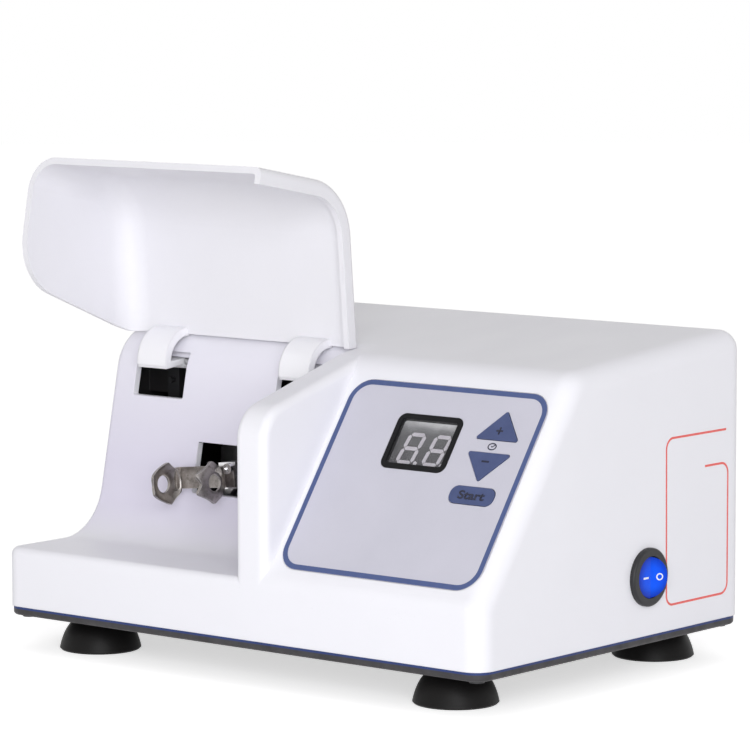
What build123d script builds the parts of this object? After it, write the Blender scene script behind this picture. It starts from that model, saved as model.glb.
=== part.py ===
from build123d import *
import os
from math import cos, radians, sin, sqrt, tan

os.makedirs("parts", exist_ok=True)

# Dental amalgamator. Lengths in millimetres, angles in degrees.
# "across" is measured from the housing's left side, "back" from its front, "up" from its bottom edge.

# ---- overall ----
width = 250.0
depth = 174.5
wall = 3.0
foot_height = 14.2
base_height = 3.8
edge_height = foot_height + base_height

# ---- housing outline ----
front_height = 24.9
slope_angle = 54.5
slope_run = 59.6
top_angle = 4.6
slope_top = front_height + slope_run * tan(radians(slope_angle))
back_height = slope_top + (depth - slope_run) * tan(radians(top_angle))
bend_round = 8.5
brow_round = 14.0
rear_round = 8.5
side_round = 8.0
corner_round = 7.0
rim_round = 3.2

# ---- mixing bay ----
bay_width = 127.0
tray_height = 24.6
lean_angle = 11.8
lean_foot = 52.9
tray_round = 24.0
crest_round = 20.0

# ---- cheek beside the bay ----
cheek_width = 15.9
cheek_height = 90.2
cheek_angle = 16.0
cheek_nose_round = 15.0
cheek_blend_round = 30.0
cheek_side_round = 3.6

# ---- lid ----
hinge_back = 76.5
hinge_up = 98.0
lid_swing = 100.5
lid_side_gap = 1.0
lid_width = bay_width - lid_side_gap
lid_front = 1.0
lid_corner_up = 80.85
lid_angle = 15.5
lid_rear = 64.8
lid_nose_round = 26.0
lid_side_round = 14.0
lid_flange_round = 3.0
lid_wall = 2.8
lid_gap = 0.6
flange_depth = 6.8

# ---- hinge ----
rod_radius = 2.0
rod_clearance = 0.05
arm_width = 16.0
arm_left_inset = 17.8
arm_right_inset = 13.6
arm_starts = (arm_left_inset, lid_width - arm_right_inset - arm_width)
arm_inner = 10.3
arm_outer = 14.0
hub_radius = 3.5
spoke_thickness = 2.8
window_width = 28.0
window_margin = 4.9
window_bottom = 83.0
window_top = 102.0
lug_thickness = 4.0
lug_radius = 5.4

# ---- lever and capsule fork ----
pivot_across = 79.0
pivot_up = 12.0
lever_tilt = 6.0
lever_back = 67.0
lever_thickness = 4.0
fork_rise = 41.0
fork_back = 44.5
fork_window = (53.0, 92.0, 45.4, 66.3)
cup_rim_left = -23.9
cup_rim_right = -0.7
cup_radius = 9.4
cup_crown = 8.9
cup_lobe = 8.5
cup_lobe_rise = 4.0
cup_waist = 6.8
cup_depth = 3.2
cup_hole_radius = 3.6
cup_base_radius = 4.6
strip_height = 9.0
strip_thickness = 1.2
strip_back = 53.2

# ---- drive ----
motor_up = 38.0
crank_offset = 3.0
crank_pin_radius = 2.5
crank_bearing_radius = 6.5
crank_bearing_width = 4.0
motor_radius = 26.0
motor_length = 56.0
motor_cap = 4.0
shaft_radius = 3.0
bracket_back = 79.0
bracket_sheet = 2.5
pivot_pin_radius = 3.0
bush_wall = 1.5
running_gap = 0.05

# ---- control panel ----
panel_cheek_margin = 2.5
panel_side_margin = 5.8
panel_left = bay_width + cheek_width + panel_cheek_margin
panel_right = width - panel_side_margin
panel_low = 6.2
panel_high = 92.6
panel_corner = 9.8
panel_sheet = 0.8
bezel_width = 32.3
bezel_inset = 37.2
bezel_right = panel_right - bezel_inset
bezel_left = bezel_right - bezel_width
bezel_low = 54.4
bezel_high = 79.0
bezel_corner = 3.6
bezel_border = 2.4
key_gap = 0.25
key_travel = 0.5
key_proud = 0.3
key_thick = 1.2
key_inset = 19.3
key_column = panel_right - key_inset
up_key = ((key_column - 9.7, 71.0), (key_column + 11.3, 71.0), (key_column + 0.8, 83.8))
down_key = ((key_column - 10.5, 65.2), (key_column + 10.7, 65.2), (key_column - 0.1, 52.6))
start_key = (key_column, 46.3, 21.4, 7.6)
start_round = 3.3
stem_radius = 1.8
board_depth = 11.0
board_thick = 1.6

# ---- rocker switch ----
switch_back = 107.3
switch_up = 23.6
switch_bezel_radius = 11.7
switch_bezel_thick = 2.2
switch_body_radius = 9.9
switch_body_depth = 16.0
rocker_radius = 8.2
rocker_tilt = 12.0
rocker_gap = 0.25
trunnion_radius = 1.0
trunnion_reach = 0.9
rocker_pivot = 0.6
rocker_dip = 1.2

# ---- rear panel parts ----
inlet_inset = 54.0
inlet_across = width - inlet_inset
inlet_up = 30.0
inlet_flange = 2.5
fuse_inlet_pitch = 44.0
fuse_across = inlet_across - fuse_inlet_pitch
fuse_up = 30.0
fuse_cap_proud = 5.0

# The rocker stands out at the right and the fuse cap at the back, so the housing is set off centre.
rocker_slope = tan(radians(2 * rocker_tilt))
rocker_fall = rocker_slope * rocker_dip
rocker_square = 1 + rocker_slope**2
rocker_tip = (sqrt(rocker_fall**2 + rocker_square * (rocker_radius**2 - rocker_dip**2)) - rocker_fall) / rocker_square
side_reach = rocker_pivot + rocker_dip + rocker_slope * rocker_tip
left_side = -(width + side_reach) / 2
front_side = -(depth + fuse_cap_proud) / 2


def side_plane(across):
    """Plane facing right, with back and up as its axes."""
    return Plane(origin=(left_side + across, front_side, edge_height), x_dir=(0, 1, 0), z_dir=(1, 0, 0))


def level_plane(up):
    """Plane facing up, with across and back as its axes."""
    return Plane(origin=(left_side, front_side, edge_height + up), x_dir=(1, 0, 0), z_dir=(0, 0, 1))


def front_plane(back):
    """Plane facing forward, with across and up as its axes."""
    return Plane(origin=(left_side, front_side + back, edge_height), x_dir=(1, 0, 0), z_dir=(0, -1, 0))


panel_plane = Plane(
    origin=(left_side, front_side, edge_height + front_height),
    x_dir=(1, 0, 0),
    z_dir=(0, -sin(radians(slope_angle)), cos(radians(slope_angle))),
)
right_plane = Plane(
    origin=(left_side + width, front_side + switch_back, edge_height + switch_up),
    x_dir=(0, 1, 0),
    z_dir=(1, 0, 0),
)


def lid_plane(across):
    """Plane facing right that swings with the lid, with its origin on the hinge axis."""
    swing = radians(-lid_swing)
    origin = (left_side + across, front_side + hinge_back, edge_height + hinge_up)
    return Plane(origin=origin, x_dir=(0, cos(swing), sin(swing)), z_dir=(1, 0, 0))


def lever_plane(back):
    """Plane facing forward that leans with the lever, with its origin on the pivot axis."""
    tilt = radians(lever_tilt)
    origin = (left_side + pivot_across, front_side + back, edge_height + pivot_up)
    return Plane(origin=origin, x_dir=(cos(tilt), 0, sin(tilt)), z_dir=(0, -1, 0))


def outline(corners):
    """Closed outline through (x, y, round) corners."""
    with BuildSketch() as shape:
        with BuildLine():
            Polyline([(x, y) for x, y, _ in corners], close=True)
        make_face()
        for x, y, round_size in corners:
            if round_size > 0:
                fillet(shape.vertices().sort_by_distance((x, y, 0))[:1], round_size)
    return shape.sketch


def inset_outline(corners, inset):
    """Outline drawn in by inset on every side."""
    if inset == 0:
        return outline(corners)
    return offset(outline(corners), amount=-inset, kind=Kind.INTERSECTION)


def save(piece, name):
    """Label a finished piece and write it."""
    piece.part.label = name
    export_step(piece.part, f"parts/{name}.step")


def right_corners(low):
    return [
        (0, low, 0),
        (0, front_height, bend_round),
        (slope_run, slope_top, brow_round),
        (depth, back_height, rear_round),
        (depth, low, 0),
    ]


def meet(base_a, angle_a, base_b, angle_b):
    """Where two lines in a side plane cross, each given by a point and its rise angle."""
    run_a, rise_a = cos(radians(angle_a)), sin(radians(angle_a))
    run_b, rise_b = cos(radians(angle_b)), sin(radians(angle_b))
    gap_x, gap_y = base_b[0] - base_a[0], base_b[1] - base_a[1]
    along = (gap_x * rise_b - gap_y * run_b) / (run_a * rise_b - rise_a * run_b)
    return base_a[0] + along * run_a, base_a[1] + along * rise_a


crest = meet((lean_foot, tray_height), 90 - lean_angle, (slope_run, slope_top), top_angle)
cheek_blend = meet((0, cheek_height), cheek_angle, (slope_run, slope_top), top_angle)


def left_corners(low):
    return [
        (0, low, 0),
        (0, tray_height, 0),
        (lean_foot, tray_height, tray_round),
        (crest[0], crest[1], crest_round),
        (depth, back_height, rear_round),
        (depth, low, 0),
    ]


def cheek_corners(low):
    return [
        (0, low, 0),
        (0, cheek_height, cheek_nose_round),
        (cheek_blend[0], cheek_blend[1], cheek_blend_round),
        (depth, back_height, rear_round),
        (depth, low, 0),
    ]


def housing_form(inset, low):
    """Housing as a full solid, drawn in by inset, from the level low upwards."""
    cheek_right = bay_width + cheek_width
    with BuildPart() as right_block:
        with BuildSketch(side_plane(cheek_right - max(cheek_side_round, inset + 0.5))):
            add(inset_outline(right_corners(low), inset))
        extrude(amount=width - inset - cheek_right + max(cheek_side_round, inset + 0.5))
        side = right_block.faces().sort_by(Axis.X)[-1]
        fillet(side.edges().sort_by(Axis.Z)[1:], side_round - inset)
    with BuildPart() as cheek_block:
        with BuildSketch(side_plane(bay_width + inset)):
            add(inset_outline(cheek_corners(low), inset))
        extrude(amount=cheek_width - 2 * inset)
        left = cheek_block.faces().sort_by(Axis.X)[0]
        right = cheek_block.faces().sort_by(Axis.X)[-1]
        fillet(left.edges().sort_by(Axis.Z)[1:] + right.edges().sort_by(Axis.Z)[1:], cheek_side_round - inset)
    with BuildPart() as left_block:
        with BuildSketch(side_plane(inset)):
            add(inset_outline(left_corners(low), inset))
        extrude(amount=bay_width + max(cheek_side_round, inset + 0.5) - inset)
        side = left_block.faces().sort_by(Axis.X)[0]
        front_edge = side.edges().filter_by(Axis.Z).sort_by(Axis.Y)[:1]
        fillet(front_edge, corner_round - inset)
        if inset < rim_round:
            tray = left_block.faces().filter_by(Axis.Z).sort_by(Axis.Z)[-1]
            tray_front = tray.edges().filter_by(Axis.X).sort_by(Axis.Y)[:1]
            side = left_block.faces().sort_by(Axis.X)[0]
            rim = side.edges().sort_by(Axis.Z)[1:].filter_by(lambda edge: edge.center().Y > front_side + 10)
            curl = tray.edges().filter_by(GeomType.CIRCLE)
            fillet(tray_front + curl + rim, rim_round - inset)
    with BuildPart() as form:
        add(left_block.part)
        add(cheek_block.part)
        add(right_block.part)
    return form.part


def group_of_screws(plane, places, head, shank, length):
    """Pan-head screws with a cross recess, heads standing out of the plane at the given places."""
    head_radius, head_height = head
    recess = head_radius * 1.1
    with BuildPart() as screws:
        with BuildSketch(plane):
            with Locations(*places):
                Circle(head_radius)
        extrude(amount=head_height)
        with BuildSketch(plane):
            with Locations(*places):
                Circle(shank)
        extrude(amount=-length)
        with BuildSketch(plane.offset(head_height)):
            with Locations(*places):
                Rectangle(recess, recess / 4)
                Rectangle(recess / 4, recess)
        extrude(amount=-head_height * 0.45, mode=Mode.SUBTRACT)
    return screws


def tube(plane, place, outer, inner, length):
    """Ring standing on the plane; a negative length goes behind it."""
    with BuildPart() as ring:
        with BuildSketch(plane):
            with Locations(place):
                Circle(outer)
                if inner > 0:
                    Circle(inner, mode=Mode.SUBTRACT)
        extrude(amount=length)
    return ring


# ---- shared places ----
pan_sheet = 1.5
pan_inset = 0.6
pan_floor = pan_sheet - base_height
boss_radius = 4.5
boss_inset = 7.2
boss_height = 18.0
tapped_radius = 1.5
boss_places = [
    (boss_inset, boss_inset),
    (width - boss_inset, boss_inset),
    (boss_inset, depth - boss_inset),
    (width - boss_inset, depth - boss_inset),
]
foot_side = 31.0
foot_front = 24.5
foot_rear = 19.5
foot_places = {
    "front_left": (foot_side, foot_front),
    "front_right": (width - foot_side, foot_front),
    "back_left": (foot_side, depth - foot_rear),
    "back_right": (width - foot_side, depth - foot_rear),
}
foot_screw_radius = 2.0
hole_play = 0.2
post_radius = 3.5
post_inset = 5.0
board_left = panel_left + 4.0
board_right = panel_right - 4.2
board_low = 12.0
board_high = 88.0
post_places = [
    (board_left + post_inset, board_low + post_inset),
    (board_right - post_inset, board_low + post_inset),
    (board_left + post_inset, board_high - post_inset),
    (board_right - post_inset, board_high - post_inset),
]
window_places = [start - window_margin for start in arm_starts]
lug_gap = 0.5
lug_starts = []
for start in window_places:
    lug_starts.append(start - lug_gap - lug_thickness)
    lug_starts.append(start + window_width + lug_gap)
interlock_across = arm_starts[0] + 0.5
interlock_up = 88.0
interlock_back = 84.5
interlock_width = 6.5
interlock_length = 10.0
interlock_height = 20.0
plunger_radius = 1.1
plunger_tip = 82.1
inlet_body = (27.0, 19.6)
inlet_depth = 20.0
inlet_screw_side = 20.0
fuse_body_radius = 6.3
motor_screw_circle = 16.0
bracket_half = 29.0
isolator_height = 4.0
bracket_floor = pan_floor + isolator_height
bracket_run = 54.0
isolator_side = 20.0
isolator_near = 12.0
isolator_far = 46.0
isolator_places = [
    (pivot_across - isolator_side, bracket_back + isolator_near),
    (pivot_across + isolator_side, bracket_back + isolator_near),
    (pivot_across - isolator_side, bracket_back + isolator_far),
    (pivot_across + isolator_side, bracket_back + isolator_far),
]
core_inset = 61.0
core_across = width - core_inset
core_front = 106.0
core_wide = 48.0
core_high = 40.0
core_thick = 22.0
strap_sheet = 1.0
strap_tab = 13.0
strap_reach = core_wide / 2 + strap_tab / 2 - strap_sheet
strap_places = [
    (core_across - strap_reach, core_front + core_thick / 2),
    (core_across + strap_reach, core_front + core_thick / 2),
]
vent_pitch = 6.0
vent_centre = ((pivot_across + bracket_half + core_across - core_wide / 2) / 2, core_front)
fit_play = 0.1
bezel_base = 1.8
key_floor = key_thick - key_proud + key_travel + fit_play


def bezel_outline(grow):
    """Rounded rectangle of the display bezel, grown on every side."""
    wide = bezel_right - bezel_left + 2 * grow
    high = bezel_high - bezel_low + 2 * grow
    with BuildSketch() as shape:
        with Locations(((bezel_left + bezel_right) / 2, (bezel_low + bezel_high) / 2)):
            RectangleRounded(wide, high, max(bezel_corner + grow, 0.6))
    return shape.sketch


def key_outline(key, grow):
    """Outline of one key, grown on every side."""
    with BuildSketch() as shape:
        if len(key) == 3:
            with BuildLine():
                Polyline(list(key), close=True)
            make_face()
            fillet(shape.vertices(), 0.7)
            if grow > 0:
                offset(amount=grow)
        else:
            with Locations((key[0], key[1])):
                RectangleRounded(key[2] + 2 * grow, key[3] + 2 * grow, start_round + grow)
    return shape.sketch


def key_middle(key):
    """Where a key's stem stands."""
    if len(key) == 3:
        return sum(corner[0] for corner in key) / 3, sum(corner[1] for corner in key) / 3
    return key[0], key[1]


keys = {"up_key": up_key, "down_key": down_key, "start_key": start_key}

# ---- housing ----
housing_outer = housing_form(0, 0)
housing_inner = housing_form(wall, -20)
with BuildPart() as housing_shell:
    add(housing_outer)
    add(housing_inner, mode=Mode.SUBTRACT)
    with BuildSketch(front_plane(lean_foot - wall)):
        for start in window_places:
            with Locations((start + window_width / 2, (window_bottom + window_top) / 2)):
                RectangleRounded(window_width, window_top - window_bottom, 0.8)
        left, right, low, high = fork_window
        with Locations(((left + right) / 2, (low + high) / 2)):
            RectangleRounded(right - left, high - low, 0.8)
    extrude(amount=-(crest[0] + wall - lean_foot + 2), mode=Mode.SUBTRACT)
    for start in lug_starts:
        with BuildSketch(side_plane(start)):
            with Locations((hinge_back, hinge_up)):
                Circle(lug_radius)
            with Locations((hinge_back + 0.5, hinge_up + 3.7)):
                Rectangle(5.0, 7.4)
        extrude(amount=lug_thickness)
    with BuildSketch(side_plane(lug_starts[0] - 1)):
        with Locations((hinge_back, hinge_up)):
            Circle(rod_radius + rod_clearance)
    extrude(amount=lug_starts[-1] + lug_thickness + 2 - lug_starts[0], mode=Mode.SUBTRACT)
    with BuildSketch(level_plane(pan_floor)):
        with Locations(*boss_places):
            Circle(boss_radius)
    extrude(amount=boss_height)
    with BuildSketch(level_plane(pan_floor)):
        with Locations(*boss_places):
            Circle(tapped_radius + rod_clearance)
    extrude(amount=boss_height - 4, mode=Mode.SUBTRACT)
    with BuildSketch(panel_plane.offset(-board_depth)):
        with Locations(*post_places):
            Circle(post_radius)
    extrude(amount=board_depth - wall / 2)
    with BuildSketch(panel_plane.offset(-board_depth)):
        with Locations(*post_places):
            Circle(tapped_radius + rod_clearance)
    extrude(amount=board_depth - wall, mode=Mode.SUBTRACT)
    with BuildSketch(panel_plane.offset(-panel_sheet)):
        with Locations(((panel_left + panel_right) / 2, (panel_low + panel_high) / 2)):
            RectangleRounded(
                panel_right - panel_left + 2 * fit_play,
                panel_high - panel_low + 2 * fit_play,
                panel_corner + fit_play,
            )
    extrude(amount=wall, mode=Mode.SUBTRACT)
    with BuildSketch(panel_plane.offset(-bezel_base)):
        add(bezel_outline(fit_play))
    extrude(amount=wall, mode=Mode.SUBTRACT)
    with BuildSketch(panel_plane.offset(-wall - 1)):
        add(bezel_outline(-bezel_border + 0.5))
    extrude(amount=2 * wall, mode=Mode.SUBTRACT)
    for key in keys.values():
        with BuildSketch(panel_plane.offset(-key_floor)):
            add(key_outline(key, key_gap))
        extrude(amount=wall, mode=Mode.SUBTRACT)
        with BuildSketch(panel_plane.offset(-wall - 1)):
            with Locations(key_middle(key)):
                Circle(stem_radius + key_gap)
        extrude(amount=wall, mode=Mode.SUBTRACT)
    with BuildSketch(right_plane.offset(-wall - 1)):
        Circle(switch_body_radius + fit_play)
    extrude(amount=wall + 2, mode=Mode.SUBTRACT)
    with BuildSketch(front_plane(depth - wall - 1)):
        with Locations((inlet_across, inlet_up)):
            Rectangle(inlet_body[0] + 2 * fit_play, inlet_body[1] + 2 * fit_play)
        with Locations((fuse_across, fuse_up)):
            Circle(fuse_body_radius + fit_play)
        with Locations((inlet_across - inlet_screw_side, inlet_up), (inlet_across + inlet_screw_side, inlet_up)):
            Circle(tapped_radius + rod_clearance)
    extrude(amount=-(wall + 2), mode=Mode.SUBTRACT)
    with BuildSketch(side_plane(wall - 0.5)):
        with Locations((interlock_back + interlock_length / 2, interlock_up)):
            Rectangle(interlock_length - 3, interlock_height - 8)
    extrude(amount=interlock_across - interlock_width / 2 - wall + 0.5)
save(housing_shell, "housing_shell")

# ---- base pan and feet ----
def pan_sketch(inset):
    """Plan of the base pan, with each corner rounded as the housing above it."""
    rounds = {
        (0, 0): corner_round,
        (width, 0): side_round,
        (width, depth): side_round,
        (0, depth): rim_round,
    }
    with BuildSketch() as shape:
        with Locations((width / 2, depth / 2)):
            Rectangle(width, depth)
        for corner, round_size in rounds.items():
            fillet(shape.vertices().sort_by_distance((corner[0], corner[1], 0))[:1], round_size)
    return offset(shape.sketch, amount=-inset)


with BuildPart() as base_pan:
    with BuildSketch(level_plane(-base_height)):
        add(pan_sketch(pan_inset))
    extrude(amount=base_height)
    under = base_pan.faces().sort_by(Axis.Z)[0]
    fillet(under.edges(), pan_sheet)
    with BuildSketch(level_plane(pan_floor)):
        add(pan_sketch(pan_inset + pan_sheet))
    extrude(amount=base_height, mode=Mode.SUBTRACT)
    with BuildSketch(level_plane(-base_height - 1)):
        with Locations(*foot_places.values()):
            Circle(foot_screw_radius + hole_play)
        with Locations(*boss_places):
            Circle(tapped_radius + hole_play)
        with Locations(*isolator_places):
            Circle(foot_screw_radius + hole_play)
        with Locations(*strap_places):
            Circle(tapped_radius + hole_play)
        with Locations(vent_centre):
            with GridLocations(vent_pitch, 0, 5, 1):
                SlotOverall(46, 2.6, rotation=90)
    extrude(amount=base_height, mode=Mode.SUBTRACT)
save(base_pan, "base_pan")

foot_rim = 16.9
foot_top = 8.8
foot_neck = 0.9
foot_flare = 12.7
foot_flare_drop = 3.8
foot_bell = 15.5
foot_lip = 0.7
foot_seat = 2.5
cup_hollow = 3.2
cup_round = ((foot_rim - foot_seat) ** 2 + cup_hollow**2) / (2 * cup_hollow)
for place, (across, back) in foot_places.items():
    centre = (left_side + across, front_side + back)
    with BuildPart() as foot:
        with BuildSketch(Plane(origin=(centre[0], centre[1], 0), x_dir=(1, 0, 0), z_dir=(0, -1, 0))):
            with BuildLine():
                Line((0, foot_height), (foot_top, foot_height))
                Line((foot_top, foot_height), (foot_top, foot_height - foot_neck))
                Spline(
                    (foot_top, foot_height - foot_neck),
                    (foot_flare, foot_height - foot_flare_drop),
                    (foot_bell, (foot_height - foot_flare_drop + foot_lip) / 2),
                    (foot_rim, foot_lip),
                )
                Line((foot_rim, foot_lip), (foot_rim - foot_lip, 0))
                Line((foot_rim - foot_lip, 0), (foot_rim - foot_seat, 0))
                RadiusArc((foot_rim - foot_seat, 0), (0, cup_hollow), -cup_round)
                Line((0, cup_hollow), (0, foot_height))
            make_face()
        revolve(axis=Axis((centre[0], centre[1], 0), (0, 0, 1)))
        with BuildSketch(Plane.XY.offset(foot_height)):
            with Locations(centre):
                Circle(foot_screw_radius + rod_clearance)
        extrude(amount=-9, mode=Mode.SUBTRACT)
    save(foot, f"suction_foot_{place}")

foot_screws = group_of_screws(level_plane(pan_floor), foot_places.values(), (3.6, 2.2), foot_screw_radius, pan_sheet + 8.5)
save(foot_screws, "foot_screws")
under_plane = Plane(
    origin=(left_side, front_side + depth, edge_height - base_height), x_dir=(1, 0, 0), z_dir=(0, 0, -1)
)
housing_screws = group_of_screws(
    under_plane, [(x, depth - y) for x, y in boss_places], (3.0, 1.0), tapped_radius, pan_sheet + boss_height - 7
)
save(housing_screws, "housing_screws")


# ---- lid ----
def lid_point(back, up):
    """A point of the closed lid, seen from the hinge axis."""
    return back - hinge_back, up - hinge_up


def cover_corners(inset):
    """Front and top of the closed lid, drawn in by inset and running on past its rear and lower edges."""
    top = (
        lid_front + inset * sin(radians(lid_angle)),
        lid_corner_up - inset * cos(radians(lid_angle)),
    )
    nose = meet((lid_front + inset, 0), 90, top, lid_angle)
    far_back = hinge_back + 20
    far_up = nose[1] + (far_back - nose[0]) * tan(radians(lid_angle))
    return [
        (*lid_point(nose[0], -10), 0),
        (*lid_point(*nose), lid_nose_round - inset),
        (*lid_point(far_back, far_up), 0),
        (*lid_point(far_back, -10), 0),
    ]


lid_top = (lid_front, lid_corner_up)
lid_rear_up = lid_corner_up + (lid_rear - lid_front) * tan(radians(lid_angle))
lid_foot = (lean_foot - lid_gap / cos(radians(lean_angle)), tray_height)
lid_low = tray_height + lid_gap
lid_heel = meet((0, lid_low), 0, lid_foot, 90 - lean_angle)
lid_cut = meet((lid_rear, lid_rear_up), lid_angle - 90, lid_foot, 90 - lean_angle)
lid_corners = [
    (*lid_point(lid_front, lid_low), 0),
    (*lid_point(*lid_top), lid_nose_round),
    (*lid_point(lid_rear, lid_rear_up), 0),
    (*lid_point(*lid_cut), 0),
    (*lid_point(*lid_heel), tray_round - lid_gap),
]
lid_marks = [
    lid_point(lid_front, lid_low + 5),
    lid_point(lid_front + 7.5, lid_corner_up - 7.5),
    lid_point(lid_rear - 5, lid_rear_up - 1.5),
]


def edges_near(face, plane, marks):
    """The edges of a face that lie closest to points given in a plane."""
    found = ShapeList()
    for mark in marks:
        found.append(face.edges().sort_by_distance(plane.from_local_coords((mark[0], mark[1], 0)))[0])
    return found


def arm_sketch():
    """Gooseneck in the lid's plane: a curved strip round the hinge axis, a spoke and a hub."""
    starts, ends = lid_swing + 84, lid_swing + 187
    spoke_turn = ends - 1.6
    with BuildSketch() as shape:
        with BuildLine():
            outer = CenterArc((0, 0), arm_outer, starts, ends - starts)
            inner = CenterArc((0, 0), arm_inner, starts, ends - starts)
            Line(outer @ 0, inner @ 0)
            Line(outer @ 1, inner @ 1)
        make_face()
        Circle(hub_radius)
        with Locations(Location((0, 0, 0), (0, 0, spoke_turn))):
            with Locations(((arm_outer - 0.4) / 2, 0)):
                Rectangle(arm_outer - 0.4, spoke_thickness)
        Circle(rod_radius + rod_clearance, mode=Mode.SUBTRACT)
    return shape.sketch


arms = []
for start, side in zip(arm_starts, ("left", "right")):
    with BuildPart() as hinge_arm:
        with BuildSketch(lid_plane(start)):
            add(arm_sketch())
        extrude(amount=arm_width)
    save(hinge_arm, f"hinge_arm_{side}")
    arms.append(hinge_arm.part)

with BuildPart() as lid_hollow:
    with BuildSketch(lid_plane(lid_wall)):
        add(outline(cover_corners(lid_wall)))
    extrude(amount=lid_width - 2 * lid_wall)
    left = lid_hollow.faces().sort_by(Axis.X)[0]
    right = lid_hollow.faces().sort_by(Axis.X)[-1]
    fillet(edges_near(left, lid_plane(lid_wall), lid_marks), lid_side_round - lid_wall)
    fillet(edges_near(right, lid_plane(lid_width - lid_wall), lid_marks), 1.2)

with BuildPart() as lid_cover:
    with BuildSketch(lid_plane(0)):
        add(outline(lid_corners))
    extrude(amount=lid_width)
    left = lid_cover.faces().sort_by(Axis.X)[0]
    right = lid_cover.faces().sort_by(Axis.X)[-1]
    fillet(edges_near(left, lid_plane(0), lid_marks), lid_side_round)
    fillet(edges_near(right, lid_plane(lid_width), lid_marks), lid_flange_round)
    add(lid_hollow.part, mode=Mode.SUBTRACT)
    with BuildSketch(lid_plane(lid_width - lid_wall - 1)):
        add(outline(cover_corners(flange_depth)))
    extrude(amount=lid_wall + 2, mode=Mode.SUBTRACT)
    for arm in arms:
        add(arm, mode=Mode.SUBTRACT)
save(lid_cover, "lid_cover")

rod_start = lug_starts[0] - 1.6
rod_end = lug_starts[-1] + lug_thickness + 1.6
hinge_rod = tube(side_plane(rod_start), (hinge_back, hinge_up), rod_radius, 0, rod_end - rod_start)
save(hinge_rod, "hinge_rod")

# ---- lid interlock ----
with BuildPart() as interlock_switch:
    with BuildSketch(front_plane(interlock_back)):
        with Locations((interlock_across, interlock_up)):
            Rectangle(interlock_width, interlock_height)
    extrude(amount=-interlock_length)
    with BuildSketch(front_plane(interlock_back)):
        with Locations((interlock_across, interlock_up)):
            Circle(plunger_radius + 0.15)
    extrude(amount=-5, mode=Mode.SUBTRACT)
    with BuildSketch(front_plane(interlock_back + interlock_length)):
        with Locations((interlock_across, interlock_up)):
            with GridLocations(0, 7, 1, 3):
                Rectangle(0.8, 3)
    extrude(amount=-6)
save(interlock_switch, "interlock_switch")
interlock_plunger = tube(
    front_plane(plunger_tip), (interlock_across, interlock_up), plunger_radius, 0, -(interlock_back - plunger_tip + 3)
)
save(interlock_plunger, "interlock_plunger")

# ---- control panel ----
with BuildPart() as panel_overlay:
    with BuildSketch(panel_plane.offset(-panel_sheet)):
        with Locations(((panel_left + panel_right) / 2, (panel_low + panel_high) / 2)):
            RectangleRounded(panel_right - panel_left, panel_high - panel_low, panel_corner)
        add(bezel_outline(fit_play), mode=Mode.SUBTRACT)
        for key in keys.values():
            add(key_outline(key, key_gap), mode=Mode.SUBTRACT)
    extrude(amount=panel_sheet)
save(panel_overlay, "panel_overlay")

bezel_proud = 0.3
window_sheet = 0.9
window_sink = 0.3
with BuildPart() as display_bezel:
    with BuildSketch(panel_plane.offset(-bezel_base)):
        add(bezel_outline(0))
        add(bezel_outline(-bezel_border), mode=Mode.SUBTRACT)
    extrude(amount=bezel_base + bezel_proud)
    top = display_bezel.faces().sort_by(Axis(panel_plane.origin, panel_plane.z_dir))[-1]
    fillet(top.outer_wire().edges(), 0.25)
save(display_bezel, "display_bezel")

with BuildPart() as display_window:
    with BuildSketch(panel_plane.offset(-window_sink - window_sheet)):
        add(bezel_outline(-bezel_border))
    extrude(amount=window_sheet)
save(display_window, "display_window")

segment_lift = 0.2
module_top = window_sink + window_sheet + fit_play + segment_lift
with BuildPart() as display_module:
    with BuildSketch(panel_plane.offset(-board_depth)):
        add(bezel_outline(-bezel_border - fit_play))
    extrude(amount=board_depth - module_top)
save(display_module, "display_module")

digit_low = bezel_low + 3.0
digit_height = 14.1
digit_width = 8.7
digit_inset = 5.5
digit_pitch = 12.9
digit_lefts = (bezel_left + digit_inset, bezel_left + digit_inset + digit_pitch)
digit_slant = 8.0
bar_width = 1.6
bar_gap = 0.25


def slanted(left, x, y):
    """A point of a digit, leaned over by the digit's slant."""
    return left + x + y * tan(radians(digit_slant)), digit_low + y


def bar_corners(start, end):
    """Six corners of one pointed bar between two places of a digit."""
    length = sqrt((end[0] - start[0]) ** 2 + (end[1] - start[1]) ** 2)
    run, rise = (end[0] - start[0]) / length, (end[1] - start[1]) / length
    half = bar_width / 2
    corners = []
    for along, aside in (
        (bar_gap, 0),
        (bar_gap + half, half),
        (length - bar_gap - half, half),
        (length - bar_gap, 0),
        (length - bar_gap - half, -half),
        (bar_gap + half, -half),
    ):
        corners.append((start[0] + run * along - rise * aside, start[1] + rise * along + run * aside))
    return corners


half_bar = bar_width / 2
low_line = half_bar
middle_line = digit_height / 2
high_line = digit_height - half_bar
left_line = half_bar
right_line = digit_width - half_bar
bars = [
    ((left_line, low_line), (right_line, low_line)),
    ((left_line, middle_line), (right_line, middle_line)),
    ((left_line, high_line), (right_line, high_line)),
    ((left_line, low_line), (left_line, middle_line)),
    ((left_line, middle_line), (left_line, high_line)),
    ((right_line, low_line), (right_line, middle_line)),
    ((right_line, middle_line), (right_line, high_line)),
]
with BuildPart() as display_segments:
    with BuildSketch(panel_plane.offset(-module_top)):
        for left in digit_lefts:
            for start, end in bars:
                with BuildLine():
                    Polyline([slanted(left, x, y) for x, y in bar_corners(start, end)], close=True)
                make_face()
            with Locations(slanted(left, digit_width + 1.3, half_bar)):
                Circle(0.85)
    extrude(amount=segment_lift)
save(display_segments, "display_segments")

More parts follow.
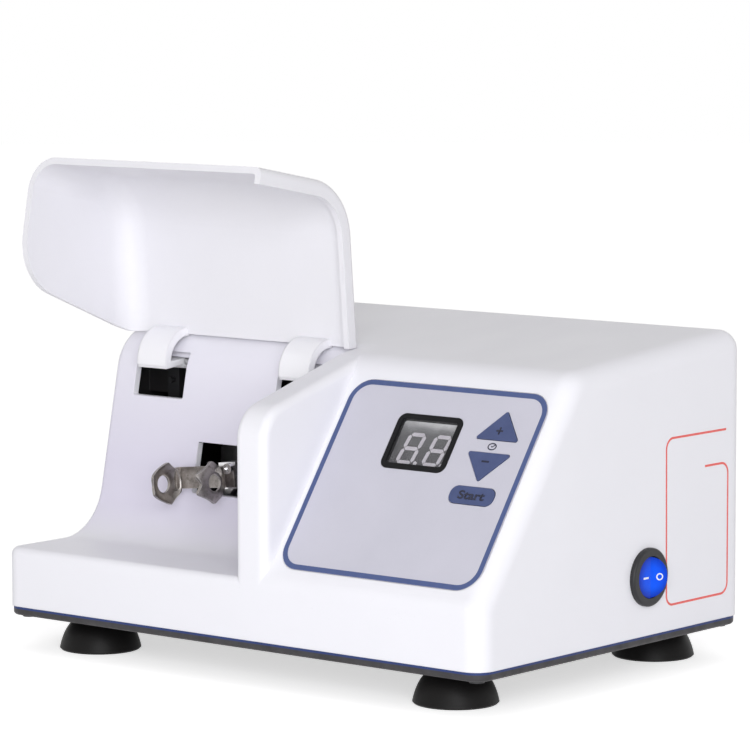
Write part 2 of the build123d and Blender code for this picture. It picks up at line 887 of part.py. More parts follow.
for name, key in keys.items():
    with BuildPart() as key_piece:
        with BuildSketch(panel_plane.offset(key_proud - key_thick)):
            add(key_outline(key, 0))
        extrude(amount=key_thick)
        with BuildSketch(panel_plane.offset(key_proud - key_thick)):
            with Locations(key_middle(key)):
                Circle(stem_radius)
        extrude(amount=-4.5)
    save(key_piece, name)

stem_low = key_thick - key_proud + 4.5
tact_top = stem_low + key_travel + fit_play
with BuildPart() as key_switches:
    for key in keys.values():
        with BuildSketch(panel_plane.offset(-board_depth)):
            with Locations(key_middle(key)):
                Rectangle(6, 6)
        extrude(amount=board_depth - tact_top - 0.8)
        with BuildSketch(panel_plane.offset(-tact_top)):
            with Locations(key_middle(key)):
                Circle(1.6)
        extrude(amount=-1.5)
save(key_switches, "key_switches")

with BuildPart() as control_board:
    with BuildSketch(panel_plane.offset(-board_depth - board_thick)):
        with Locations(((board_left + board_right) / 2, (board_low + board_high) / 2)):
            Rectangle(board_right - board_left, board_high - board_low)
        with Locations(*post_places):
            Circle(tapped_radius + hole_play, mode=Mode.SUBTRACT)
    extrude(amount=board_thick)
save(control_board, "control_board")

behind_board = Plane(
    origin=panel_plane.from_local_coords((0, 0, -board_depth - board_thick)),
    x_dir=(-1, 0, 0),
    z_dir=-panel_plane.z_dir,
)
board_screws = group_of_screws(
    behind_board, [(-x, y) for x, y in post_places], (2.8, 1.6), tapped_radius, board_thick + 6
)
save(board_screws, "board_screws")

with BuildPart() as controller_chip:
    with BuildSketch(panel_plane.offset(-board_depth)):
        with Locations((board_left + 30, board_low + 20)):
            Rectangle(24, 8)
    extrude(amount=3.6)
save(controller_chip, "controller_chip")

buzzer_radius = 6.0
buzzer_place = (board_left + 13, bezel_low - buzzer_radius - 4)
with BuildPart() as buzzer:
    with BuildSketch(panel_plane.offset(-board_depth)):
        with Locations(buzzer_place):
            Circle(buzzer_radius)
    extrude(amount=7)
    with BuildSketch(panel_plane.offset(-board_depth + 7)):
        with Locations(buzzer_place):
            Circle(1)
    extrude(amount=-2, mode=Mode.SUBTRACT)
save(buzzer, "buzzer")

sink_across = board_right - 35
sink_high = 34.0
sink_wide = 30.0
sink_sheet = 3.0
fin_high = 8.0
fin_pitch = 5.0
fin_sheet = 1.4
sink_deep = 22.0
with BuildPart() as heat_sink:
    with BuildSketch(behind_board):
        with Locations((-sink_across, sink_high)):
            Rectangle(sink_wide, sink_sheet)
        with Locations((-sink_across, sink_high + (sink_sheet + fin_high) / 2 - 0.5)):
            with GridLocations(fin_pitch, 0, 6, 1):
                Rectangle(fin_sheet, fin_high)
    extrude(amount=sink_deep)
save(heat_sink, "heat_sink")

# ---- rocker switch ----
pivot_point = right_plane.from_local_coords((0, 0, rocker_pivot))
tip_turn = radians(rocker_tilt)
pivot_plane = Plane(origin=pivot_point, x_dir=(1, 0, 0), z_dir=(0, 0, 1))
trunnion_end = rocker_radius + trunnion_reach
rocker_plane = Plane(origin=pivot_point, x_dir=(sin(tip_turn), cos(tip_turn), 0), z_dir=(0, 0, 1))
with BuildPart() as switch_body:
    with BuildSketch(right_plane):
        Circle(switch_bezel_radius)
    extrude(amount=switch_bezel_thick)
    fillet(switch_body.faces().sort_by(Axis.X)[-1].edges(), 0.9)
    with BuildSketch(right_plane):
        Circle(switch_body_radius)
    extrude(amount=-switch_body_depth)
    with BuildSketch(right_plane.offset(-rocker_radius - 1.2)):
        Circle(rocker_radius + rocker_gap)
    extrude(amount=rocker_radius + 1.2 + switch_bezel_thick, mode=Mode.SUBTRACT)
    with BuildSketch(pivot_plane.offset(-trunnion_end - rocker_gap)):
        Circle(trunnion_radius + running_gap)
    extrude(amount=2 * (trunnion_end + rocker_gap), mode=Mode.SUBTRACT)
    with BuildSketch(right_plane.offset(-switch_body_depth)):
        with GridLocations(6, 0, 3, 1):
            Rectangle(0.8, 6.3)
    extrude(amount=-8)
save(switch_body, "switch_body")

rocker_low = 4.5
wedge_half = 12.0
rise = rocker_dip + wedge_half * tan(tip_turn)
with BuildPart() as switch_rocker:
    with Locations(pivot_point):
        Sphere(rocker_radius, rotation=(0, 90, 0))
    with BuildSketch(rocker_plane.offset(-15)):
        with BuildLine():
            Polyline(
                [(-wedge_half, -rise), (0, -rocker_dip), (wedge_half, -rise), (wedge_half, -20), (-wedge_half, -20)],
                close=True,
            )
        make_face()
        with Locations((0, rocker_low + 8)):
            Rectangle(30, 16)
    extrude(amount=30, mode=Mode.SUBTRACT)
    with BuildSketch(pivot_plane.offset(-trunnion_end)):
        Circle(trunnion_radius)
    extrude(amount=2 * trunnion_end)
save(switch_rocker, "switch_rocker")

# ---- rear panel ----
with BuildPart() as mains_inlet:
    with BuildSketch(front_plane(depth)):
        with Locations((inlet_across, inlet_up)):
            RectangleRounded(48, 22.6, 4)
        with Locations((inlet_across - inlet_screw_side, inlet_up), (inlet_across + inlet_screw_side, inlet_up)):
            Circle(tapped_radius + hole_play, mode=Mode.SUBTRACT)
    extrude(amount=-inlet_flange)
    with BuildSketch(front_plane(depth)):
        with Locations((inlet_across, inlet_up)):
            Rectangle(*inlet_body)
    extrude(amount=inlet_depth)
    with BuildSketch(front_plane(depth + inlet_flange)):
        with Locations((inlet_across, inlet_up)):
            Rectangle(24.2, 16.4)
    extrude(amount=17, mode=Mode.SUBTRACT)
    with BuildSketch(front_plane(depth)):
        with Locations(
            (inlet_across - 7, inlet_up - 2),
            (inlet_across, inlet_up + 2),
            (inlet_across + 7, inlet_up - 2),
        ):
            Rectangle(2, 4)
    extrude(amount=inlet_depth + 7)
save(mains_inlet, "mains_inlet")
rear_plane = Plane(
    origin=(left_side, front_side + depth + inlet_flange, edge_height), x_dir=(-1, 0, 0), z_dir=(0, 1, 0)
)
inlet_screws = group_of_screws(
    rear_plane,
    [(-inlet_across - inlet_screw_side, inlet_up), (-inlet_across + inlet_screw_side, inlet_up)],
    (2.8, 1.6),
    tapped_radius,
    inlet_flange + wall + 3,
)
save(inlet_screws, "inlet_screws")

fuse_bore = 3.2
fuse_flange = 1.6
with BuildPart() as fuse_holder:
    with BuildSketch(front_plane(depth)):
        with Locations((fuse_across, fuse_up)):
            Circle(8)
    extrude(amount=-fuse_flange)
    with BuildSketch(front_plane(depth)):
        with Locations((fuse_across, fuse_up)):
            Circle(fuse_body_radius)
    extrude(amount=28)
    with BuildSketch(front_plane(depth + fuse_flange)):
        with Locations((fuse_across, fuse_up)):
            Circle(fuse_bore)
    extrude(amount=25, mode=Mode.SUBTRACT)
save(fuse_holder, "fuse_holder")
with BuildPart() as fuse_cap:
    with BuildSketch(front_plane(depth + fuse_flange)):
        with Locations((fuse_across, fuse_up)):
            Circle(6.4)
    extrude(amount=-(fuse_cap_proud - fuse_flange))
    with BuildSketch(front_plane(depth + fuse_cap_proud)):
        with Locations((fuse_across, fuse_up)):
            Rectangle(8, 1.4)
    extrude(amount=1.2, mode=Mode.SUBTRACT)
    with BuildSketch(front_plane(depth + fuse_flange)):
        with Locations((fuse_across, fuse_up)):
            Circle(fuse_bore - fit_play)
    extrude(amount=3)
save(fuse_cap, "fuse_cap")
glass_fuse = tube(front_plane(depth + fuse_flange - 3), (fuse_across, fuse_up), 2.6, 0, 20)
save(glass_fuse, "glass_fuse")

# ---- transformer ----
leg_wide = 16.0
core_window = 8.0
window_high = 24.0
core_middle = pan_floor + core_high / 2
with BuildPart() as transformer_core:
    with BuildSketch(front_plane(core_front)):
        with Locations((core_across, core_middle)):
            Rectangle(core_wide, core_high)
            with GridLocations(leg_wide + core_window, 0, 2, 1):
                Rectangle(core_window, window_high, mode=Mode.SUBTRACT)
    extrude(amount=-core_thick)
save(transformer_core, "transformer_core")
coil_play = 0.3
coil_reach = 8.0
with BuildPart() as transformer_coil:
    with BuildSketch(level_plane(core_middle - window_high / 2 + coil_play)):
        with Locations((core_across, core_front + core_thick / 2)):
            RectangleRounded(leg_wide + 2 * core_window - 2 * coil_play, core_thick + 2 * coil_reach, 5)
            Rectangle(leg_wide + 2 * coil_play, core_thick + 2 * coil_play, mode=Mode.SUBTRACT)
    extrude(amount=window_high - 2 * coil_play)
save(transformer_coil, "transformer_coil")
strap_deep = 12.0
with BuildPart() as transformer_strap:
    with BuildSketch(front_plane(core_front + (core_thick - strap_deep) / 2)):
        with Locations((core_across, pan_floor + (core_high + strap_sheet) / 2)):
            Rectangle(core_wide + 2 * strap_sheet, core_high + strap_sheet)
        with Locations((core_across, core_middle)):
            Rectangle(core_wide, core_high, mode=Mode.SUBTRACT)
        with Locations((core_across, pan_floor + strap_sheet / 2)):
            Rectangle(core_wide + 2 * strap_tab, strap_sheet)
            Rectangle(core_wide, strap_sheet, mode=Mode.SUBTRACT)
    extrude(amount=-strap_deep)
    with BuildSketch(level_plane(pan_floor)):
        with Locations(*strap_places):
            Circle(tapped_radius + hole_play)
    extrude(amount=strap_sheet, mode=Mode.SUBTRACT)
save(transformer_strap, "transformer_strap")
transformer_screws = group_of_screws(
    level_plane(pan_floor + strap_sheet), strap_places, (2.8, 1.8), tapped_radius, pan_sheet + strap_sheet + 1.5
)
save(transformer_screws, "transformer_screws")

# ---- motor and its bracket ----
motor_place = (pivot_across, motor_up)
bracket_rear = bracket_back + bracket_sheet
boss_front = lever_back + lever_thickness + 0.9
with BuildPart() as motor_bracket:
    with BuildSketch(front_plane(bracket_back)):
        with Locations((pivot_across, (bracket_floor + motor_up + motor_radius) / 2)):
            RectangleRounded(2 * bracket_half, motor_up + motor_radius - bracket_floor, 3)
        with Locations((pivot_across, bracket_floor + 4)):
            Rectangle(2 * bracket_half, 8)
    extrude(amount=-bracket_sheet)
    with BuildSketch(level_plane(bracket_floor)):
        with Locations((pivot_across, bracket_back + bracket_run / 2)):
            Rectangle(2 * bracket_half, bracket_run)
    extrude(amount=bracket_sheet)
    with BuildSketch(front_plane(bracket_back)):
        with Locations((pivot_across, pivot_up)):
            Circle(pivot_pin_radius + 2.5)
    extrude(amount=bracket_back - boss_front)
    with BuildSketch(front_plane(boss_front - 1)):
        with Locations((pivot_across, pivot_up)):
            Circle(pivot_pin_radius)
        with Locations(motor_place):
            Circle(9)
            with PolarLocations(motor_screw_circle, 4, start_angle=45):
                Circle(tapped_radius + hole_play)
    extrude(amount=-(bracket_rear - boss_front + 2), mode=Mode.SUBTRACT)
    with BuildSketch(level_plane(bracket_floor - 1)):
        with Locations(*isolator_places):
            Circle(foot_screw_radius + hole_play)
    extrude(amount=bracket_sheet + 2, mode=Mode.SUBTRACT)
save(motor_bracket, "motor_bracket")

with BuildPart() as motor_isolators:
    with BuildSketch(level_plane(pan_floor)):
        with Locations(*isolator_places):
            Circle(6)
            Circle(foot_screw_radius + fit_play, mode=Mode.SUBTRACT)
    extrude(amount=isolator_height)
save(motor_isolators, "motor_isolators")
bracket_screws = group_of_screws(
    level_plane(bracket_floor + bracket_sheet),
    isolator_places,
    (3.8, 2.2),
    foot_screw_radius,
    bracket_sheet + isolator_height + pan_sheet + 1.5,
)
save(bracket_screws, "bracket_screws")

motor_screw_places = []
for turn in (45, 135, 225, 315):
    motor_screw_places.append(
        (
            motor_place[0] + motor_screw_circle * cos(radians(turn)),
            motor_place[1] + motor_screw_circle * sin(radians(turn)),
        )
    )
motor_screws = group_of_screws(
    front_plane(bracket_back), motor_screw_places, (2.4, 1.8), tapped_radius, bracket_sheet + motor_cap - 0.5
)
save(motor_screws, "motor_screws")

can_sheet = 1.5
can_front = bracket_rear + motor_cap
can_rear = can_front + motor_length
bearing_radius = 8.0
bearing_width = 3.0
with BuildPart() as motor_front_cap:
    with BuildSketch(front_plane(bracket_rear)):
        with Locations(motor_place):
            Circle(motor_radius)
            Circle(bearing_radius, mode=Mode.SUBTRACT)
            with PolarLocations(motor_screw_circle, 4, start_angle=45):
                Circle(tapped_radius + rod_clearance, mode=Mode.SUBTRACT)
    extrude(amount=-motor_cap)
save(motor_front_cap, "motor_front_cap")
motor_rear_cap = tube(front_plane(can_rear), motor_place, motor_radius, bearing_radius, -motor_cap)
save(motor_rear_cap, "motor_rear_cap")
motor_can = tube(front_plane(can_front), motor_place, motor_radius, motor_radius - can_sheet, -motor_length)
save(motor_can, "motor_can")
with BuildPart() as motor_bearings:
    for start in (bracket_rear + 0.5, can_rear + 0.5):
        with BuildSketch(front_plane(start)):
            with Locations(motor_place):
                Circle(bearing_radius)
                Circle(shaft_radius + running_gap, mode=Mode.SUBTRACT)
        extrude(amount=-bearing_width)
save(motor_bearings, "motor_bearings")
magnet_inner = 19.0
with BuildPart() as motor_magnets:
    with BuildSketch(front_plane(can_front + 8)):
        with Locations(motor_place):
            Circle(motor_radius - can_sheet)
            Circle(magnet_inner, mode=Mode.SUBTRACT)
            Rectangle(2 * motor_radius, 22, mode=Mode.SUBTRACT)
    extrude(amount=-34)
save(motor_magnets, "motor_magnets")

hub_front = lever_back + lever_thickness + 0.8
hub_rear = bracket_back - 0.7
motor_shaft = tube(front_plane(hub_front + 1), motor_place, shaft_radius, 0, -(can_rear + motor_cap + 2 - hub_front - 1))
save(motor_shaft, "motor_shaft")
core_radius = magnet_inner - 1.0
with BuildPart() as rotor_core:
    with BuildSketch(front_plane(can_front + 9)):
        with Locations(motor_place):
            Circle(core_radius)
            Circle(shaft_radius, mode=Mode.SUBTRACT)
            with PolarLocations(core_radius - 3.5, 8):
                Circle(2.6, mode=Mode.SUBTRACT)
            with PolarLocations(core_radius, 8):
                Rectangle(6, 1.6, mode=Mode.SUBTRACT)
    extrude(amount=-32)
save(rotor_core, "rotor_core")
commutator = tube(front_plane(can_front + 43), motor_place, 7.5, shaft_radius, -9)
save(commutator, "commutator")

crank_place = (pivot_across - crank_offset, motor_up)
hub_radius_out = 9.5
with BuildPart() as eccentric_hub:
    with BuildSketch(front_plane(hub_rear)):
        with Locations(motor_place):
            Circle(hub_radius_out)
            with Locations((5, 0)):
                Circle(8.5)
    extrude(amount=hub_rear - hub_front)
    with BuildSketch(front_plane(hub_rear)):
        with Locations(motor_place):
            Circle(shaft_radius)
    extrude(amount=hub_rear - hub_front - 1, mode=Mode.SUBTRACT)
    with BuildSketch(front_plane(hub_front)):
        with Locations(crank_place):
            Circle(crank_pin_radius)
    extrude(amount=hub_front - lever_back + 0.3)
save(eccentric_hub, "eccentric_hub")
crank_bearing = tube(
    front_plane(lever_back + crank_bearing_width), crank_place, crank_bearing_radius, crank_pin_radius, crank_bearing_width
)
save(crank_bearing, "crank_bearing")

# ---- swinging lever and capsule fork ----
lever_eye = 12.8
lever_ring = 16.6
bush_radius = pivot_pin_radius + running_gap + bush_wall
head_left, head_right, head_low, head_high = -3.5, 5.5, 37.4, 48.4
screw_place = (3.6, 46.0)
with BuildPart() as swing_lever:
    with BuildSketch(lever_plane(lever_back + lever_thickness)):
        Circle(bush_radius + 3.5)
        with Locations((0, motor_up - pivot_up)):
            Circle(lever_ring)
        with Locations((0, (motor_up - pivot_up) / 2)):
            Rectangle(2 * bush_radius + 3, motor_up - pivot_up)
        with Locations(((head_left + head_right) / 2, (head_low + head_high) / 2)):
            Rectangle(head_right - head_left, head_high - head_low)
        Circle(bush_radius, mode=Mode.SUBTRACT)
        with Locations((0, motor_up - pivot_up)):
            Circle(lever_eye, mode=Mode.SUBTRACT)
    extrude(amount=lever_thickness)
    with BuildSketch(lever_plane(lever_back)):
        with Locations(((head_left + head_right) / 2, (head_low + head_high) / 2)):
            Rectangle(head_right - head_left, head_high - head_low)
    extrude(amount=lever_back - strip_back - strip_thickness)
    with BuildSketch(lever_plane(strip_back + strip_thickness)):
        with Locations(screw_place):
            Circle(tapped_radius + rod_clearance)
    extrude(amount=-9, mode=Mode.SUBTRACT)
save(swing_lever, "swing_lever")

bush_front = lever_back - 0.4
bush_rear = lever_back + lever_thickness + 0.5
lever_bush = tube(
    front_plane(bush_rear),
    (pivot_across, pivot_up),
    bush_radius,
    pivot_pin_radius + running_gap,
    bush_rear - bush_front,
)
save(lever_bush, "lever_bush")
pin_front = bush_front - 2.2
pivot_pin = tube(front_plane(bracket_rear), (pivot_across, pivot_up), pivot_pin_radius, 0, bracket_rear - pin_front)
save(pivot_pin, "pivot_pin")

clip_sheet = 0.8
with BuildPart() as retaining_clips:
    with BuildSketch(side_plane(rod_start + 0.5)):
        with Locations((hinge_back, hinge_up)):
            Circle(rod_radius + 1.6)
            Circle(rod_radius, mode=Mode.SUBTRACT)
    extrude(amount=clip_sheet)
    with BuildSketch(side_plane(rod_end - 0.5 - clip_sheet)):
        with Locations((hinge_back, hinge_up)):
            Circle(rod_radius + 1.6)
            Circle(rod_radius, mode=Mode.SUBTRACT)
    extrude(amount=clip_sheet)
    with BuildSketch(front_plane(bush_front - 0.2)):
        with Locations((pivot_across, pivot_up)):
            Circle(pivot_pin_radius + 2)
            Circle(pivot_pin_radius, mode=Mode.SUBTRACT)
    extrude(amount=clip_sheet)
save(retaining_clips, "retaining_clips")

fork_plane = lever_plane(fork_back)
cup_axis = Axis(fork_plane.from_local_coords((0, fork_rise, 0)), fork_plane.x_dir)
cup_sheet = 1.0
cup_side = Plane(
    origin=fork_plane.from_local_coords((cup_rim_left - 2 * cup_depth, fork_rise, 0)),
    x_dir=(0, 1, 0),
    z_dir=fork_plane.x_dir,
)
cup_reach = cup_rim_right - cup_rim_left + 4 * cup_depth


def cup_sketch(rim, outward):
    """Half section of a dished cup with a central hole; outward is the side its bottom faces."""
    bottom = rim + outward * cup_depth
    middle = rim + outward * cup_depth * 0.45
    with BuildSketch() as shape:
        with BuildLine():
            Line((rim, fork_rise + cup_radius), (rim, fork_rise + cup_radius - cup_sheet))
            ThreePointArc(
                (rim, fork_rise + cup_radius - cup_sheet),
                (middle, fork_rise + cup_base_radius + 1.9),
                (bottom - outward * cup_sheet, fork_rise + cup_base_radius - 0.4),
            )
            Line(
                (bottom - outward * cup_sheet, fork_rise + cup_base_radius - 0.4),
                (bottom - outward * cup_sheet, fork_rise + cup_hole_radius),
            )
            Line((bottom - outward * cup_sheet, fork_rise + cup_hole_radius), (bottom, fork_rise + cup_hole_radius))
            Line((bottom, fork_rise + cup_hole_radius), (bottom, fork_rise + cup_base_radius))
            ThreePointArc(
                (bottom, fork_rise + cup_base_radius),
                (middle + outward * cup_sheet * 0.8, fork_rise + cup_base_radius + 2.6),
                (rim + outward * 0.6, fork_rise + cup_radius),
            )
            Line((rim + outward * 0.6, fork_rise + cup_radius), (rim, fork_rise + cup_radius))
        make_face()
    return shape.sketch


strip_middle = 42.6
strip_left = cup_rim_left - 1.6
fork_level = Plane(
    origin=lever_plane(0).from_local_coords((0, strip_middle - strip_height / 2, 0)),
    x_dir=lever_plane(0).x_dir,
    z_dir=lever_plane(0).y_dir,
)
leg_front = fork_back + 6.0
with BuildPart() as capsule_fork:
    with BuildSketch(fork_plane):
        add(cup_sketch(cup_rim_left, -1))
        add(cup_sketch(cup_rim_right, 1))
    revolve(axis=cup_axis)
    with BuildSketch(cup_side) as cup_outline:
        Polygon(
            (-cup_waist, 0),
            (-cup_lobe, -cup_lobe_rise),
            (1.5, -cup_crown),
            (cup_lobe, -cup_lobe_rise),
            (cup_lobe, cup_lobe_rise),
            (1.5, cup_crown),
            (-cup_lobe, cup_lobe_rise),
            align=None,
        )
        fillet(cup_outline.vertices(), 1.0)
    extrude(amount=cup_reach, mode=Mode.INTERSECT)
    with BuildSketch(fork_level):
        with Locations(((strip_left + head_right) / 2, strip_back + strip_thickness / 2)):
            Rectangle(head_right - strip_left, strip_thickness)
        for leg in (strip_left + strip_thickness / 2, cup_rim_right + 0.6):
            with Locations((leg, (leg_front + strip_back) / 2 + 0.3)):
                Rectangle(strip_thickness, strip_back - leg_front + 0.6)
    extrude(amount=strip_height)
    with BuildSketch(lever_plane(strip_back + strip_thickness + 1)):
        with Locations(screw_place):
            Circle(tapped_radius + rod_clearance)
    extrude(amount=strip_thickness + 2, mode=Mode.SUBTRACT)
save(capsule_fork, "capsule_fork")
fork_screw = group_of_screws(lever_plane(strip_back), [screw_place], (2.2, 1.8), tapped_radius, 8)
save(fork_screw, "fork_screw")
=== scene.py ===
from math import ceil, cos, pi, radians, sin, sqrt, tan

import bmesh
import bpy
from mathutils import Matrix, Vector
from mathutils.bvhtree import BVHTree


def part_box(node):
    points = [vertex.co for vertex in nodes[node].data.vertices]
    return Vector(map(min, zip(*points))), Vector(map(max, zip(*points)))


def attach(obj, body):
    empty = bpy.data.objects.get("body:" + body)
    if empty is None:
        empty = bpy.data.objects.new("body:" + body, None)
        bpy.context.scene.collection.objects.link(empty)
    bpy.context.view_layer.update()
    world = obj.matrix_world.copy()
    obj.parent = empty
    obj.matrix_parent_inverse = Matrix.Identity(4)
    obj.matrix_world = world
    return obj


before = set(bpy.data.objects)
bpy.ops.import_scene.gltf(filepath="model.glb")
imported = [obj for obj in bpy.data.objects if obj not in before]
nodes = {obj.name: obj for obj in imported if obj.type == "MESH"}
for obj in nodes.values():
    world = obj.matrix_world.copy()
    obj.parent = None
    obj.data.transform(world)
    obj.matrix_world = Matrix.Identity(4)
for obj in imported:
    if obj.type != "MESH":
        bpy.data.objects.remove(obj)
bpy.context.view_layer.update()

shell_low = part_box("housing_shell")[0]
pan_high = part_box("base_pan")[1]

# ---- places on the housing, in millimetres from its front left lower edge ----
MM = 0.001
ORIGIN = Vector((shell_low.x, shell_low.y, pan_high.z))
HOME = dict(zip("XYZ", ORIGIN))
WIDTH = 250.0
SLOPE = radians(54.5)  # of the control panel
PANEL_RISE = 24.9  # where the panel's plane starts, above the base
WALL_LEAN = radians(11.8)  # of the wall behind the mixing bay
PANEL_OUT = Vector((0, -sin(SLOPE), cos(SLOPE)))
RIGHT = Vector((1, 0, 0))


def place(across, back, up):
    """A point of the housing as a point of the scene."""
    return ORIGIN + Vector((across, back, up)) * MM


def on_panel(across, along):
    """A point of the sloping control panel."""
    return place(across, along * cos(SLOPE), PANEL_RISE + along * sin(SLOPE))


def on_side(back, up):
    """A point of the housing's right side."""
    return place(WIDTH, back, up)


# ---- materials ----
class Tree:
    """The nodes of a material or a world, from an empty tree."""

    def __init__(self, owner, output):
        owner.use_nodes = True
        self.tree = owner.node_tree
        self.tree.nodes.clear()
        self.output = self.add(output)

    def add(self, kind, values=None, **settings):
        """A node with its settings, and plain values on its sockets, by name or number."""
        node = self.tree.nodes.new(kind)
        for key, value in settings.items():
            setattr(node, key, value)
        for key, value in (values or {}).items():
            node.inputs[key].default_value = value
        return node

    def link(self, start, end):
        self.tree.links.new(start, end)

    def parts(self, vector):
        """The X, Y and Z of a vector."""
        node = self.add("ShaderNodeSeparateXYZ")
        self.link(vector, node.inputs["Vector"])
        return node.outputs

    def maths(self, operation, first, second):
        node = self.add("ShaderNodeMath", operation=operation)
        for socket, value in zip(node.inputs, (first, second)):
            if isinstance(value, (int, float)):
                socket.default_value = value
            else:
                self.link(value, socket)
        return node.outputs["Value"]

    def spread(self, value, over, to=(0, 1), smooth=False):
        """A value with the range `over` laid on the range `to`, and held at its ends."""
        keys = ("From Min", "From Max", "To Min", "To Max")
        kind = "SMOOTHSTEP" if smooth else "LINEAR"
        limits = dict(zip(keys, (*over, *to)))
        node = self.add("ShaderNodeMapRange", limits, interpolation_type=kind)
        self.link(value, node.inputs["Value"])
        return node.outputs["Result"]

    def seen_directly(self):
        """1 for rays that come from the camera, a reflection or through glass."""
        rays = self.add("ShaderNodeLightPath").outputs
        total = rays["Is Camera Ray"]
        for kind in ("Is Glossy Ray", "Is Transmission Ray"):
            total = self.maths("MAXIMUM", total, rays[kind])
        return total

    def show(self, lit, seen):
        """One shader for the light that reaches the object, another for what is seen directly."""
        choose = self.add("ShaderNodeMixShader")
        self.link(self.seen_directly(), choose.inputs["Fac"])
        self.link(lit, choose.inputs[1])
        self.link(seen, choose.inputs[2])
        self.link(choose.outputs["Shader"], self.output.inputs["Surface"])


class Shader(Tree):
    """A material with one Principled shader, patterned by object coordinates in metres."""

    def __init__(self, name, **constants):
        self.material = bpy.data.materials.new(name)
        super().__init__(self.material, "ShaderNodeOutputMaterial")
        constants = {key.replace("_", " "): value for key, value in constants.items()}
        self.shader = self.add("ShaderNodeBsdfPrincipled", constants)
        self.link(self.shader.outputs["BSDF"], self.output.inputs["Surface"])
        self.space = self.add("ShaderNodeTexCoord").outputs["Object"]

    def stretched(self, scale, turn=(0, 0, 0)):
        """Object coordinates with a scale for each axis, after a turn."""
        mapping = self.add("ShaderNodeMapping", {"Scale": scale, "Rotation": turn})
        self.link(self.space, mapping.inputs["Vector"])
        return mapping.outputs["Vector"]

    def noise(self, scale, detail=3.0, rough=0.5, space=None):
        values = {"Scale": scale, "Detail": detail, "Roughness": rough}
        node = self.add("ShaderNodeTexNoise", values)
        self.link(space or self.space, node.inputs["Vector"])
        return node.outputs["Fac"]

    def patches(self, scale, detail=3.0, rough=0.5, over=(0.3, 0.7), to=(0, 1)):
        """Noise with one range of its values spread over another."""
        return self.spread(self.noise(scale, detail, rough), over, to)

    def cells(self, scale, **settings):
        """Distances in a pattern of cells."""
        node = self.add("ShaderNodeTexVoronoi", {"Scale": scale}, **settings)
        self.link(self.space, node.inputs["Vector"])
        return node.outputs["Distance"]

    def bands(self, step, axis, distortion, wobble=1.0):
        """Fine lines across one axis; they repeat every 2 pi steps, in metres."""
        scale = 1 / step / 20  # Blender's wave turns through 20 radians in a metre at scale 1
        values = {"Scale": scale, "Distortion": distortion, "Detail Scale": wobble}
        node = self.add("ShaderNodeTexWave", values, wave_type="BANDS", bands_direction=axis)
        self.link(self.space, node.inputs["Vector"])
        return node.outputs["Fac"]

    def mix(self, amount, first, second):
        """First where the amount is 0, second where it is 1; each is a colour or a socket."""
        node = self.add("ShaderNodeMix", data_type="RGBA")
        self.link(amount, node.inputs["Factor"])
        # The node's sockets have the same names for every kind of data: 6, 7 and 2 are colours.
        for socket, value in zip((node.inputs[6], node.inputs[7]), (first, second)):
            if isinstance(value, tuple):
                socket.default_value = (*value, 1)
            else:
                self.link(value, socket)
        return node.outputs[2]

    def clouded(self, first, second, scale, detail=3.0, rough=0.5, over=(0.3, 0.7)):
        """Two colours that drift into each other."""
        return self.mix(self.patches(scale, detail, rough, over), first, second)

    def rounded(self, radius):
        """The surface's normal, as if its edges were rounded."""
        return self.add("ShaderNodeBevel", {"Radius": radius}, samples=4).outputs["Normal"]

    def edges(self, radius):
        """1 on sharp edges and 0 on flat faces, from the cosine between the two normals."""
        dot = self.add("ShaderNodeVectorMath", operation="DOT_PRODUCT")
        self.link(self.rounded(radius), dot.inputs[0])
        self.link(self.add("ShaderNodeNewGeometry").outputs["Normal"], dot.inputs[1])
        return self.spread(dot.outputs["Value"], over=(0.985, 0.82))

    def rubbed(self, radius, amount):
        """The share of wear on edges."""
        return self.maths("MULTIPLY", self.edges(radius), amount)

    def bay_wall_shade(self):
        """Where shade is painted on the wall behind the mixing bay: 1 low on the wall, less towards
        its top, 0 elsewhere.
        """
        facing = self.parts(self.add("ShaderNodeNewGeometry").outputs["Normal"])
        where = self.parts(self.space)
        share = self.spread(facing["Y"], over=(-0.25, -0.9))
        limits = (
            ("X", (0.1275, 0.1265), (0, 1)),  # left of the cheek
            ("Y", (0.012, 0.024), (0, 1)),  # behind the tray's front edge
            ("Z", (0.055, 0.1), (1, 0.45)),  # less and less up the wall
        )
        for axis, (start, end), to in limits:
            inside = self.spread(where[axis], (HOME[axis] + start, HOME[axis] + end), to)
            share = self.maths("MULTIPLY", share, inside)
        return share

    def inside_shade(self):
        """Where the hidden inside of the housing is painted near black as shade: 1 there, told by
        the way a face looks and where it is.
        """
        facing = self.parts(self.add("ShaderNodeNewGeometry").outputs["True Normal"])
        where = self.parts(self.space)
        wall_back, wall_up = 0.0564, 0.0246  # a point in the slanting wall
        upright = self.maths("ADD", where["Y"], self.maths("MULTIPLY", where["Z"], -tan(WALL_LEAN)))
        wall_line = HOME["Y"] + wall_back - tan(WALL_LEAN) * (HOME["Z"] + wall_up)
        behind_wall = self.maths("GREATER_THAN", upright, wall_line)
        low_down = self.maths("LESS_THAN", where["Z"], HOME["Z"] + 0.0925)
        # The way a face looks, the test of where it is, and what else has to hold.
        rules = (
            ("X", 1, "X", "LESS_THAN", 0.240, (behind_wall,)),
            ("X", -1, "X", "GREATER_THAN", 0.150, ()),
            ("Y", 1, "Y", "LESS_THAN", 0.170, ()),
            ("Y", -1, "Y", "GREATER_THAN", 0.160, ()),
            ("Z", -1, "Z", "GREATER_THAN", 0.002, ()),
            ("Y", -1, "X", "LESS_THAN", 0.125, (behind_wall, low_down)),
        )
        total = 0.0
        for side, way, axis, test, limit, more in rules:
            part = self.maths("GREATER_THAN", self.maths("MULTIPLY", facing[side], way), 0.5)
            for rule in (self.maths(test, where[axis], HOME[axis] + limit), *more):
                part = self.maths("MULTIPLY", part, rule)
            total = self.maths("MAXIMUM", total, part)
        return total

    def colour(self, value):
        self.link(value, self.shader.inputs["Base Color"])

